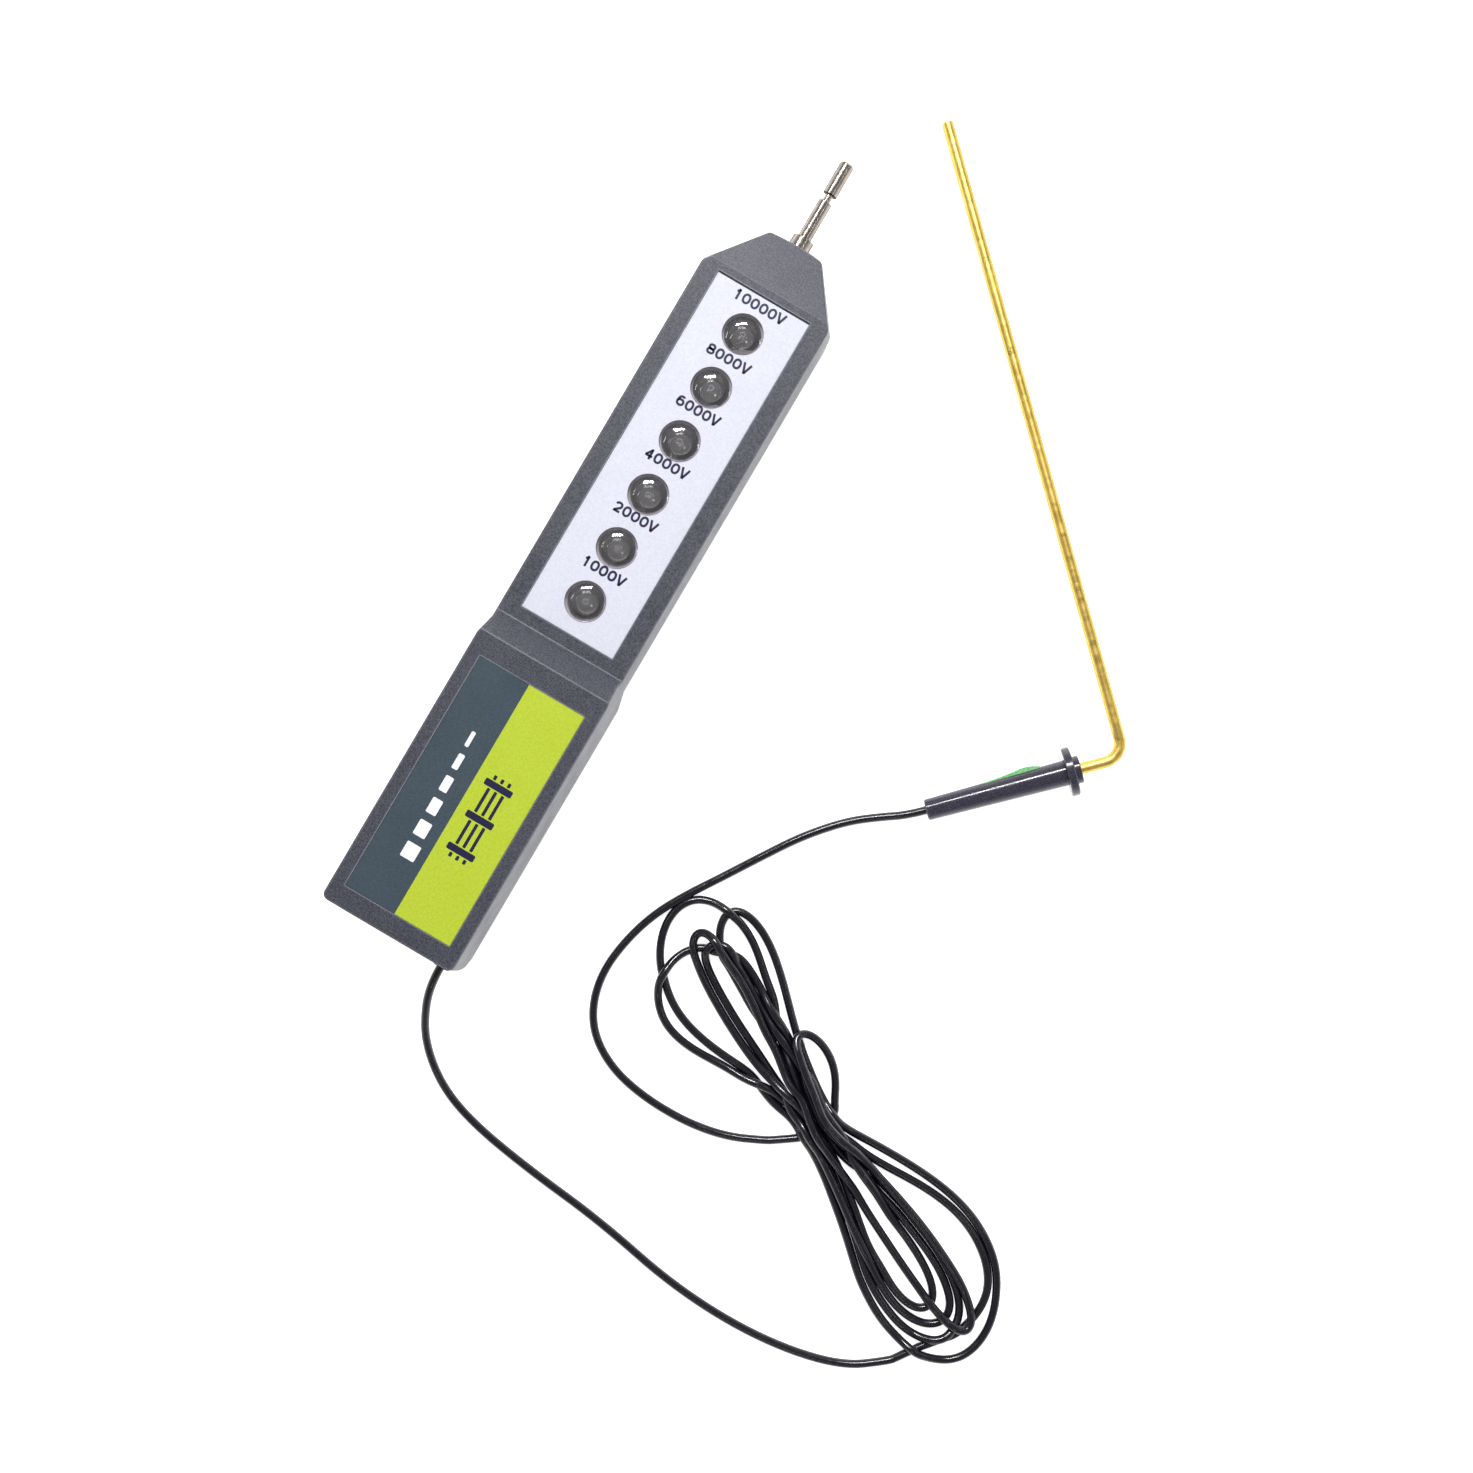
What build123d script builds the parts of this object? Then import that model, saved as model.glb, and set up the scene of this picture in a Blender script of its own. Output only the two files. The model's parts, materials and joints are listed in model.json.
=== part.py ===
from build123d import *
from math import cos, pi, radians, sin, tan
import os

# Six-lamp fence voltage tester with its ground lead and ground probe, lying on a table.
# Millimetres. +X across the case, +Y from the tail to the tip, +Z out of the front face.
# The table is Z = 0. X = 0 is the case's middle plane, and Y = 0 halfway from tail to tip.

# ---- case -------------------------------------------------------------------------------
TAIL_Y = -114.75            # tail end wall
STEP_HIGH_Y = -35.5         # the handle's front face ends here
STEP_LOW_Y = -29.3          # the lower head face begins here
SIDE_STEP_LOW_Y = -36.4     # in plan, the handle narrows to the head between these
SIDE_STEP_HIGH_Y = -31.4
SHOULDER_Y = 73.0           # the head's straight sides end here
NOSE_SLOPE_Y = 74.4         # the front face slopes down to the nose from here
NOSE_CORNER_Y = 88.3        # corners of the narrow nose end
NOSE_Y = 88.8               # middle of the slightly bowed nose end
HANDLE_WIDTH = 40.8         # widths are at the split between the two covers
HEAD_WIDTH = 38.4
NOSE_WIDTH = 15.6
HANDLE_HEIGHT = 26.0
HEAD_HEIGHT = 20.0
NOSE_HEIGHT = 16.0
SPLIT_Z = 13.0              # plane where the front and rear covers meet
WALL = 2.0
CLOSE_FIT = 0.02            # gap on the radius where one piece is held tight in another
FRONT_DRAFT = 7.0           # degrees
REAR_DRAFT = 2.0
TAIL_CORNER_R = 3.4
SHOULDER_R = 3.0
NOSE_CORNER_R = 1.8
STEP_SIDE_R = 3.0
FRONT_EDGE_R = 0.5
REAR_EDGE_R = 1.2
LIP_OUTER_INSET = 1.05      # tongue on the front cover
LIP_INNER_INSET = 1.95
LIP_DEPTH = 1.5
LIP_GAP = 0.1
REVEAL_DEPTH = 0.3          # fine groove that shows as the parting line
REVEAL_HEIGHT = 0.35

# ---- scale panel, lenses and lamps --------------------------------------------------------
LAMP_COUNT = 6
LAMP_PITCH = 15.6
LAMP_MIDDLE_Y = 22.4
SCALE_WIDTH = 26.4
SCALE_LOW_Y = -25.6
SCALE_HIGH_Y = 71.8
SCALE_THICK = 0.35
SCALE_RECESS = 0.6
SCALE_RECESS_END_GAP = 0.5
LENS_R = 5.2
LENS_HOLE_R = 5.3
LENS_FLANGE_R = 6.0
LENS_SEAT_Z = 16.7          # underside of the lens flange
LENS_TOP_Z = 20.2           # top of the lens's straight side
LENS_DOME = 1.1
LENS_BORE_R = 4.3
LENS_POCKET_R = 3.2         # the pocket narrows to this, then closes in a shallow roof
LENS_POCKET_Z = 18.3
LENS_POCKET_DOME = 0.6
LENS_DIMPLE_R = 0.7
BADGE_WIDTH = 30.0
BADGE_LOW_Y = -107.6
BADGE_HIGH_Y = -41.6
BADGE_THICK = 0.25
BADGE_RECESS = 0.35
LAMP_R = 2.9
LAMP_GLASS = 0.4
LAMP_LOW_Z = 6.6
LAMP_HIGH_Z = 16.2
LAMP_TIP_R = 0.7
LAMP_LEAD_R = 0.3
LAMP_LEAD_HALF_PITCH = 1.2
LAMP_NIB = 0.6              # pulled tip above the bulb
ELECTRODE_DROP = 4.0        # from the bulb's top down to the electrodes' ends
WIRE_REACH = 0.7            # how far a wire comes out under the board

# ---- board and what is soldered to it -----------------------------------------------------
BOARD_LOW_Z = 3.6
BOARD_THICK = 1.6
BOARD_HALF_WIDTH = 10.0
BOARD_LOW_Y = -88.0
BOARD_HIGH_Y = 71.5
BAFFLE_HALF_WIDTH = 8.0
BAFFLE_WELL_R = 4.3
WIRE_GAP = 0.05             # room around a wire in a board hole
BAFFLE_CORNER_R = 3.0
RESISTOR_X = -4.0
RESISTOR_SPAN = 10.0        # between a resistor's two board holes
RESISTOR_Y = (-78.0, -66.0, -54.0, -42.0)
TAP_RESISTOR_X = 5.6
TAP_RESISTOR_SPAN = 6.6
TAP_RESISTOR_Y = (-80.0, -71.0, -62.0, -53.0, -44.0, -35.0)

# ---- fasteners ----------------------------------------------------------------------------
CASE_SCREWS = ((-7.5, -105.0), (7.5, -105.0), (-13.4, 66.0), (13.4, 66.0))
SCREW_R = 1.3
SCREW_HEAD_R = 2.6
SCREW_HEAD_THICK = 2.0
SCREW_LENGTH = 10.0
SCREW_SEAT_Z = 6.0
BOSS_R = 3.0
BOSS_MEET_Z = 9.0
PILOT_DEPTH = 8.5
SHANK_GAP = 0.2
HEAD_GAP = 0.15
BOARD_SCREWS = ((0.0, -84.5), (0.0, -30.0))
BOARD_SCREW_R = 1.0
BOARD_SCREW_HEAD_R = 2.0
BOARD_SCREW_HEAD_THICK = 1.4
BOARD_SCREW_LENGTH = 3.8
BOARD_BOSS_R = 2.4

# ---- tip ----------------------------------------------------------------------------------
PIN_Z = 8.5
PIN_INNER_Y = 77.0
FERRULE_END_Y = 92.3
FERRULE_R = 2.85
PIN_SHAFT_R = 1.8
PIN_SHAFT_END_Y = 103.3
PIN_NECK_R = 1.05
PIN_NECK_END_Y = 105.6
PIN_HEAD_R = 1.9
PIN_END_Y = 114.75
PIN_BEVEL = 0.5
PIN_THREAD_R = 1.7
WASHER_END_Y = 86.35        # inner side of the drafted nose wall
WASHER_THICK = 0.55
NUT_END_Y = WASHER_END_Y - WASHER_THICK - 0.05
NUT_FLATS = 6.5
NUT_THICK = 2.4
TAG_END_Y = NUT_END_Y - NUT_THICK - 0.05
TAG_THICK = 0.6
TAG_R = 3.0
TAG_TAIL_X = 6.2
TAG_TAIL_HALF_WIDTH = 1.1
WASHER_R = 3.2

# ---- lead ---------------------------------------------------------------------------------
LEAD_R = 1.1
CORE_R = 0.55
TAG_WIRE_X = 4.9
TIP_WIRE_PAD = (TAG_WIRE_X, 69.0)
LEAD_PAD = (7.0, -86.0)
LEAD_X = 14.8
LEAD_Z = SPLIT_Z
GROMMET_BODY_R = 1.9
GROMMET_FLANGE_R = 2.4
GROMMET_FLANGE = 0.5
GROMMET_FACE_Y = TAIL_Y - GROMMET_FLANGE
CLAMP_Y = -98.0
CLAMP_LENGTH = 4.0
CLAMP_SCREW_X = 10.0
CLAMP_SCREW_LENGTH = 5.5
CLAMP_THICK = 0.8
CLAMP_TAB_REACH = 2.3       # the clamp's tab goes this far past its screw's middle
LEAD_INNER_END_Y = -93.0

# ---- ground probe -------------------------------------------------------------------------
GRIP_START = (102.2, -18.0, 2.8)        # middle of the grip's small end
GRIP_HEADING = 45.8                     # degrees from +X, in plan
GRIP_RISE = 5.62                        # degrees: guard and small end both rest on the table
GRIP_LENGTH = 37.3
GRIP_SMALL_R = 2.8
GRIP_LARGE_R = 3.35
GUARD_R = 6.45
GUARD_THICK = 2.1
COLLAR_R = 3.65
COLLAR_LENGTH = 1.7
ROD_R = 1.5
ROD_BEND_R = 5.1
ROD_CORNER_AT = 52.7                    # bend's corner, measured along the grip's axis
ROD_END = (16.0, 139.4, ROD_R)
MARKER_START = 15.5                     # green marker, along the grip
MARKER_LENGTH = 16.0
MARKER_PROUD = 0.9
MARKER_FOOT = 0.6                       # how deep the marker sits in the grip
MARKER_HALF_WIDTH = 1.2
MARKER_CREST = 0.68                     # share of the marker's length where it is highest
LEAD_BORE_DEPTH = 16.0
CRIMP_LENGTH = 3.4
CRIMP_R = 1.05

# ---- hank of lead -------------------------------------------------------------------------
WAIST = (119.8, -103.8)
WAIST_R = 5.6
UPPER_LOOPS = (74.6, -82.1)
UPPER_R = 16.4
LOWER_LOOPS = (168.5, -123.6)
LOWER_R = 18.4
HANK_HEIGHT = 5.5
WAIST_HEIGHT = 7.5
TIE_LOOP = (119.5, -92.5)
TIE_LOOP_R = 4.0

# The lead's two uncoiled stretches, as points from end to end.
TESTER_SIDE_ROUTE = (
    (LEAD_X, GROMMET_FACE_Y, LEAD_Z),
    (LEAD_X, -119.2, LEAD_Z),
    (16.2, -126.2, 10.6),
    (20.6, -135.4, 5.8),
    (29.8, -143.8, 1.9),
    (41.9, -148.4, 1.12),
    (61.0, -151.4, 1.12),
    (83.6, -153.6, 1.12),
    (109.2, -158.6, 1.12),
    (134.6, -159.0, 1.12),
    (156.4, -154.6, 1.12),
    (167.0, -146.6, 1.12),
    (172.6, -139.4, 1.5),
)
PROBE_SIDE_ROUTE = (
    (119.0, -107.6, 1.5),
    (110.2, -113.4, 1.12),
    (100.6, -117.9, 1.12),
    (89.0, -120.0, 1.12),
    (76.4, -119.8, 1.12),
    (66.0, -117.6, 1.12),
    (57.6, -112.6, 1.12),
    (52.8, -105.4, 1.12),
    (51.0, -96.4, 1.12),
    (52.2, -86.6, 1.12),
    (55.0, -77.4, 1.12),
    (59.4, -69.2, 1.12),
    (65.4, -60.0, 1.12),
    (71.4, -50.4, 1.12),
    (78.0, -40.2, 1.12),
    (86.0, -31.0, 1.12),
    (93.2, -25.4, 1.6),
    (98.62, -21.6815, 2.2947),
    GRIP_START,
)


# ---- helpers ------------------------------------------------------------------------------
def post(x, y, low, high, radius):
    """Upright cylinder between two heights."""
    return Pos(x, y, (low + high) / 2) * Cylinder(radius, high - low)


def block(x_low, x_high, y_low, y_high, z_low, z_high):
    middle = Pos((x_low + x_high) / 2, (y_low + y_high) / 2, (z_low + z_high) / 2)
    return middle * Box(x_high - x_low, y_high - y_low, z_high - z_low)


def turned(profile, place):
    """Solid of revolution: profile is (radius, distance along the axis) pairs."""
    outline = Polyline(*[(r, 0, along) for r, along in profile], close=True)
    return place * revolve(make_face(outline), Axis.Z, 360)


def lens_y(index):
    """Lens 1 is the one nearest the tip."""
    return LAMP_MIDDLE_Y + LAMP_PITCH * ((LAMP_COUNT - 1) / 2 - index)


def wire(points, bend_radius, radius):
    """Round wire that follows straight runs joined by equal bends."""
    path = FilletPolyline(*points, radius=bend_radius)
    start = Plane(origin=path @ 0, z_dir=path % 0)
    return sweep(start * Circle(radius), path=path)


def route_radii(points):
    """Bend radius at each inner point: as large as its two runs allow."""
    radii = []
    for before, here, after in zip(points, points[1:], points[2:]):
        arriving = Vector(*here) - Vector(*before)
        leaving = Vector(*after) - Vector(*here)
        half_turn = radians(arriving.get_angle(leaving) / 2)
        radii.append(0.45 * min(arriving.length, leaving.length) / tan(half_turn))
    return radii


# ---- case ---------------------------------------------------------------------------------
def case_plan(inset=0.0):
    """The case's outline at the split, or inside it by inset."""
    handle, head, nose = HANDLE_WIDTH / 2, HEAD_WIDTH / 2, NOSE_WIDTH / 2
    right = [(handle, TAIL_Y), (handle, SIDE_STEP_LOW_Y), (head, SIDE_STEP_HIGH_Y),
             (head, SHOULDER_Y), (nose, NOSE_CORNER_Y)]
    left = [(-x, y) for x, y in reversed(right)]
    sides = Polyline(*left, *right)
    end = ThreePointArc((-nose, NOSE_CORNER_Y), (0, NOSE_Y), (nose, NOSE_CORNER_Y))
    plan = make_face(sides + end)
    for radius, y in ((TAIL_CORNER_R, TAIL_Y), (STEP_SIDE_R, SIDE_STEP_HIGH_Y),
                      (SHOULDER_R, SHOULDER_Y), (NOSE_CORNER_R, NOSE_CORNER_Y)):
        corners = plan.vertices().filter_by_position(Axis.Y, y - 0.1, y + 0.1)
        plan = fillet(corners, radius)
    return offset(plan, -inset, kind=Kind.INTERSECTION) if inset else plan


def front_profile(drop=0.0):
    """Side view of the front: handle, step, head and sloping nose, extruded across."""
    low = SPLIT_Z - 5
    high_nose = NOSE_HEIGHT - drop
    points = [(TAIL_Y - 5, low), (TAIL_Y - 5, HANDLE_HEIGHT - drop),
              (STEP_HIGH_Y, HANDLE_HEIGHT - drop), (STEP_LOW_Y, HEAD_HEIGHT - drop),
              (NOSE_SLOPE_Y, HEAD_HEIGHT - drop), (NOSE_Y, high_nose),
              (NOSE_Y + 5, high_nose), (NOSE_Y + 5, low)]
    outline = Polyline(*[(0, y, z) for y, z in points], close=True)
    return extrude(make_face(outline), amount=HANDLE_WIDTH, both=True, dir=(1, 0, 0))


def ring(outer_inset, inner_inset, low, high):
    """Band that follows the case's wall between two insets and two heights."""
    band = case_plan(outer_inset) - case_plan(inner_inset)
    return extrude(Pos(0, 0, low) * band, amount=high - low)


def front_cover():
    tall = HANDLE_HEIGHT - SPLIT_Z
    outside = extrude(Pos(0, 0, SPLIT_Z) * case_plan(), amount=tall, taper=FRONT_DRAFT)
    outside &= front_profile()
    outside = fillet(front_edges(outside), FRONT_EDGE_R)
    inside = extrude(Pos(0, 0, SPLIT_Z) * case_plan(WALL), amount=tall - 1, taper=FRONT_DRAFT)
    inside &= front_profile(WALL)
    cover = outside - inside
    cover += ring(LIP_OUTER_INSET, LIP_INNER_INSET, SPLIT_Z - LIP_DEPTH, SPLIT_Z)
    for x, y in CASE_SCREWS:
        ceiling = (HANDLE_HEIGHT if y < STEP_HIGH_Y else HEAD_HEIGHT) - WALL
        cover += post(x, y, BOSS_MEET_Z + LIP_GAP, ceiling + WALL / 2, BOSS_R)
        cover -= post(x, y, BOSS_MEET_Z, BOSS_MEET_Z + PILOT_DEPTH, SCREW_R + CLOSE_FIT)
    half = SCALE_WIDTH / 2 + 0.1
    cover -= block(-half, half, SCALE_LOW_Y - 0.1, SCALE_HIGH_Y + SCALE_RECESS_END_GAP,
                   HEAD_HEIGHT - SCALE_RECESS, HEAD_HEIGHT + 1)
    half = BADGE_WIDTH / 2 + 0.1
    cover -= block(-half, half, BADGE_LOW_Y - 0.1, BADGE_HIGH_Y + 0.1,
                   HANDLE_HEIGHT - BADGE_RECESS, HANDLE_HEIGHT + 1)
    for index in range(LAMP_COUNT):
        cover -= post(0, lens_y(index), HEAD_HEIGHT - 4, HEAD_HEIGHT + 1, LENS_HOLE_R)
    return cover - lead_hole()


def front_edges(solid):
    """Edges round the front faces and along the step and the nose, not those up the walls."""
    return solid.edges().filter_by(lambda edge: edge.bounding_box().min.Z > SPLIT_Z + 0.1)


def lead_hole():
    """Hole for the grommet, half in each cover."""
    return Pos(LEAD_X, TAIL_Y, LEAD_Z) * Rot(90, 0, 0) * Cylinder(GROMMET_BODY_R, 8)


def rear_cover():
    outside = extrude(Pos(0, 0, SPLIT_Z) * case_plan(), amount=-SPLIT_Z, taper=REAR_DRAFT)
    outside = fillet(outside.edges().group_by(Axis.Z)[0], REAR_EDGE_R)
    inside = extrude(Pos(0, 0, SPLIT_Z) * case_plan(WALL), amount=WALL - SPLIT_Z, taper=REAR_DRAFT)
    cover = outside - inside
    groove_low = SPLIT_Z - LIP_DEPTH - LIP_GAP
    cover -= ring(LIP_OUTER_INSET - LIP_GAP, WALL + 0.5, groove_low, SPLIT_Z)
    cover -= ring(-1.0, REVEAL_DEPTH, SPLIT_Z - REVEAL_HEIGHT, SPLIT_Z)
    for x, y in CASE_SCREWS:
        cover += post(x, y, WALL / 2, BOSS_MEET_Z, BOSS_R + 1.0) & inner_room()
        cover -= post(x, y, -1, SCREW_SEAT_Z, SCREW_HEAD_R + HEAD_GAP)
        cover -= post(x, y, 0, BOSS_MEET_Z + 1, SCREW_R + SHANK_GAP)
    for x, y in BOARD_SCREWS:
        cover += post(x, y, WALL / 2, BOARD_LOW_Z, BOARD_BOSS_R)
        cover -= post(x, y, WALL / 2, BOARD_LOW_Z + 1, BOARD_SCREW_R + CLOSE_FIT)
    cover += clamp_pillar()
    cover -= Pos(0, NOSE_Y, PIN_Z) * Rot(90, 0, 0) * Cylinder(PIN_THREAD_R + 0.05, 8)
    return cover - lead_hole()


def inner_room():
    """Space inside the rear cover's walls, grown a little into them."""
    return extrude(case_plan(WALL / 2), amount=SPLIT_Z)


def clamp_pillar():
    """Pillar under the lead with a pilot hole for the clamp's screw."""
    top = LEAD_Z - LEAD_R
    half = CLAMP_LENGTH / 2
    left, right = CLAMP_SCREW_X - BOARD_BOSS_R, LEAD_X + 1.6
    pillar = block(left, right, CLAMP_Y - half, CLAMP_Y + half, WALL / 2, top)
    return pillar - post(CLAMP_SCREW_X, CLAMP_Y, top - 6, top + 1, BOARD_SCREW_R + CLOSE_FIT)


# ---- front panel pieces -------------------------------------------------------------------
def scale_panel():
    low = HEAD_HEIGHT - SCALE_RECESS
    half = SCALE_WIDTH / 2
    panel = block(-half, half, SCALE_LOW_Y, SCALE_HIGH_Y, low, low + SCALE_THICK)
    for index in range(LAMP_COUNT):
        panel -= post(0, lens_y(index), low - 1, low + 1, LENS_HOLE_R)
    return panel


def handle_badge():
    low = HANDLE_HEIGHT - BADGE_RECESS
    half = BADGE_WIDTH / 2
    return block(-half, half, BADGE_LOW_Y, BADGE_HIGH_Y, low, low + BADGE_THICK)


def cap(base_r, base_z, rise):
    """Ball whose top is a dome of that base radius and rise over base_z."""
    radius = (base_r ** 2 + rise ** 2) / (2 * rise)
    return Pos(0, 0, base_z + rise - radius) * Sphere(radius)


def lens(index):
    """Clear domed lens: flange under the cover, and a pocket with a dimple over the lamp."""
    under = HEAD_HEIGHT - WALL
    crown_z = LENS_TOP_Z + LENS_DOME
    body = post(0, 0, LENS_SEAT_Z, under, LENS_FLANGE_R) + post(0, 0, under, crown_z, LENS_R)
    body &= cap(LENS_R, LENS_TOP_Z, LENS_DOME)
    depth = LENS_POCKET_Z - LENS_SEAT_Z
    body -= Pos(0, 0, LENS_SEAT_Z + depth / 2) * Cone(LENS_BORE_R, LENS_POCKET_R, depth)
    roof_z = LENS_POCKET_Z + LENS_POCKET_DOME
    roof = post(0, 0, LENS_POCKET_Z, roof_z, LENS_POCKET_R)
    body -= roof & cap(LENS_POCKET_R, LENS_POCKET_Z, LENS_POCKET_DOME)
    body -= Pos(0, 0, roof_z) * Sphere(LENS_DIMPLE_R)
    return Pos(0, lens_y(index), 0) * body


def neon_lamp(index):
    """Glass bulb with a pulled tip on top, hollow, with two holes for its wires."""
    skirt = LAMP_HIGH_Z - LAMP_R
    r = LAMP_R
    bulb = post(0, 0, LAMP_LOW_Z, skirt, r) + Pos(0, 0, skirt) * Sphere(r)
    bulb += post(0, 0, LAMP_HIGH_Z - 1, LAMP_HIGH_Z + LAMP_NIB, LAMP_TIP_R)
    inner = r - LAMP_GLASS
    bulb -= post(0, 0, LAMP_LOW_Z + 1.2, skirt, inner) + Pos(0, 0, skirt) * Sphere(inner)
    for side in (-1, 1):
        bulb -= post(side * LAMP_LEAD_HALF_PITCH, 0, 0, LAMP_LOW_Z + 2, LAMP_LEAD_R + CLOSE_FIT)
    return Pos(0, lens_y(index), 0) * bulb


def neon_electrodes():
    """Two upright wires in each lamp, from the board up into the glass."""
    wires = []
    for index in range(LAMP_COUNT):
        for side in (-1, 1):
            x = side * LAMP_LEAD_HALF_PITCH
            low, high = BOARD_LOW_Z - WIRE_REACH, LAMP_HIGH_Z - ELECTRODE_DROP
            wires.append(post(x, lens_y(index), low, high, LAMP_LEAD_R))
    return Compound(children=wires)


def lamp_baffle():
    """Dark strip with six wells that keep each lamp's light under its own lens."""
    low, high = BOARD_LOW_Z + BOARD_THICK, LENS_SEAT_Z
    end = LENS_BORE_R + 2.0
    half = BAFFLE_HALF_WIDTH
    strip = block(-half, half, lens_y(LAMP_COUNT - 1) - end, lens_y(0) + end, low, high)
    strip = fillet(strip.edges().filter_by(Axis.Z), BAFFLE_CORNER_R)
    for index in range(LAMP_COUNT):
        strip -= post(0, lens_y(index), low - 1, high + 1, BAFFLE_WELL_R)
    return strip


# ---- board --------------------------------------------------------------------------------
def resistor(x, y, body_r, body_length, span):
    """Axial resistor along X: bulged body, and leads that turn down through the board."""
    z = BOARD_LOW_Z + BOARD_THICK + body_r + 0.4
    half = body_length / 2
    body = Rot(0, 90, 0) * Cylinder(body_r, body_length)
    cap = Rot(0, 90, 0) * Cylinder(body_r * 1.12, body_r * 1.4)
    for side in (-1, 1):
        body += Pos(side * (half - body_r), 0, 0) * cap
    body = Pos(x, y, z) * body
    reach = BOARD_LOW_Z - WIRE_REACH
    end = span / 2
    for side in (-1, 1):
        lead = [(x + side * (half - 0.2), y, z), (x + side * end, y, z), (x + side * end, y, reach)]
        body += wire(lead, 0.6, LAMP_LEAD_R)
    return body


def series_resistors():
    return Compound(children=[resistor(RESISTOR_X, y, 1.7, 6.4, RESISTOR_SPAN)
                              for y in RESISTOR_Y])


def tap_resistors():
    return Compound(children=[resistor(TAP_RESISTOR_X, y, 0.95, 3.6, TAP_RESISTOR_SPAN)
                              for y in TAP_RESISTOR_Y])


def board_holes():
    """Where wires and screws pass through the board, with each hole's radius."""
    lead = LAMP_LEAD_R + WIRE_GAP
    holes = [(s * LAMP_LEAD_HALF_PITCH, lens_y(i), lead) for i in range(LAMP_COUNT) for s in (-1, 1)]
    for x, span, rows in ((RESISTOR_X, RESISTOR_SPAN, RESISTOR_Y),
                          (TAP_RESISTOR_X, TAP_RESISTOR_SPAN, TAP_RESISTOR_Y)):
        holes += [(x + s * span / 2, y, lead) for y in rows for s in (-1, 1)]
    holes += [(x, y, BOARD_SCREW_R + 0.1) for x, y in BOARD_SCREWS]
    return holes + [(TIP_WIRE_PAD[0], TIP_WIRE_PAD[1], CORE_R + WIRE_GAP),
                    (LEAD_PAD[0], LEAD_PAD[1], CORE_R + WIRE_GAP)]


def circuit_board():
    half = BOARD_HALF_WIDTH
    top = BOARD_LOW_Z + BOARD_THICK
    board = block(-half, half, BOARD_LOW_Y, BOARD_HIGH_Y, BOARD_LOW_Z, top)
    for x, y, radius in board_holes():
        board -= post(x, y, BOARD_LOW_Z - 1, top + 1, radius)
    for x, y in CASE_SCREWS[2:]:
        board -= post(x, y, BOARD_LOW_Z - 1, top + 1, BOSS_R + 1.3)
    return board


# ---- fasteners ----------------------------------------------------------------------------
def screw(x, y, seat, up, head_r, head_thick, shank_r, length):
    """Pan-head screw with a cross recess. up is 1 where the shank points to +Z."""
    head = post(0, 0, -head_thick, 0, head_r)
    head = fillet(head.edges().group_by(Axis.Z)[0], head_thick * 0.35)
    slot = Box(head_r * 1.2, head_r * 0.32, head_thick)
    cross = slot + Rot(0, 0, 90) * slot
    solid = head + post(0, 0, 0, length, shank_r) - Pos(0, 0, -head_thick) * cross
    return Pos(x, y, seat) * (solid if up > 0 else Rot(180, 0, 0) * solid)


def case_screws():
    made = [screw(x, y, SCREW_SEAT_Z, 1, SCREW_HEAD_R, SCREW_HEAD_THICK, SCREW_R, SCREW_LENGTH)
            for x, y in CASE_SCREWS]
    return Compound(children=made)


def board_screws():
    top = BOARD_LOW_Z + BOARD_THICK
    made = [screw(x, y, top, -1, BOARD_SCREW_HEAD_R, BOARD_SCREW_HEAD_THICK, BOARD_SCREW_R,
                  BOARD_SCREW_LENGTH) for x, y in BOARD_SCREWS]
    return Compound(children=made)


# ---- tip ----------------------------------------------------------------------------------
def along_y(y):
    """Places a turned piece's axis on the tip's axis, pointing to +Y, starting at y."""
    return Pos(0, y, PIN_Z) * Rot(-90, 0, 0)


def tip_probe():
    """Plated pin: threaded shank, shaft, narrow neck for the fence wire, and round head."""
    stations = [(0, PIN_INNER_Y), (PIN_THREAD_R, PIN_INNER_Y), (PIN_THREAD_R, FERRULE_END_Y),
                (PIN_SHAFT_R, FERRULE_END_Y), (PIN_SHAFT_R, PIN_SHAFT_END_Y),
                (PIN_NECK_R, PIN_SHAFT_END_Y), (PIN_NECK_R, PIN_NECK_END_Y),
                (PIN_HEAD_R, PIN_NECK_END_Y), (PIN_HEAD_R, PIN_END_Y - PIN_BEVEL),
                (PIN_HEAD_R - PIN_BEVEL, PIN_END_Y), (0, PIN_END_Y)]
    return turned([(r, y - PIN_INNER_Y) for r, y in stations], along_y(PIN_INNER_Y))


def tube_along_tip(outer, inner, low, high):
    length = high - low
    return turned([(inner, 0), (outer, 0), (outer, length), (inner, length)], along_y(low))


def tip_ferrule():
    return tube_along_tip(FERRULE_R, PIN_THREAD_R + CLOSE_FIT, NOSE_Y + CLOSE_FIT, FERRULE_END_Y)


def tip_nut():
    hexagon = RegularPolygon(NUT_FLATS / 2, 6, major_radius=False)
    nut = extrude(hexagon, amount=NUT_THICK) - Cylinder(PIN_THREAD_R + CLOSE_FIT, 10)
    return along_y(NUT_END_Y - NUT_THICK) * nut


def tip_washer():
    low = WASHER_END_Y - WASHER_THICK
    return tube_along_tip(WASHER_R, PIN_THREAD_R + CLOSE_FIT, low, WASHER_END_Y)


def solder_tag():
    """Ring tag on the shank behind the nut, with a tail for the wire."""
    low, high = TAG_END_Y - TAG_THICK, TAG_END_Y
    tag = tube_along_tip(TAG_R, PIN_THREAD_R + CLOSE_FIT, low, high)
    half = TAG_TAIL_HALF_WIDTH
    tail = block(TAG_R - TAG_THICK, TAG_TAIL_X, low, high, PIN_Z - half, PIN_Z + half)
    return tag + tail


def tip_wire():
    """Wire from the solder tag down to the board."""
    points = [(TAG_WIRE_X, TAG_END_Y - TAG_THICK, PIN_Z), (TAG_WIRE_X, 71.0, PIN_Z),
              (*TIP_WIRE_PAD, PIN_Z - 1), (*TIP_WIRE_PAD, BOARD_LOW_Z - WIRE_REACH)]
    return wire(points, 0.8, CORE_R)


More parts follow.
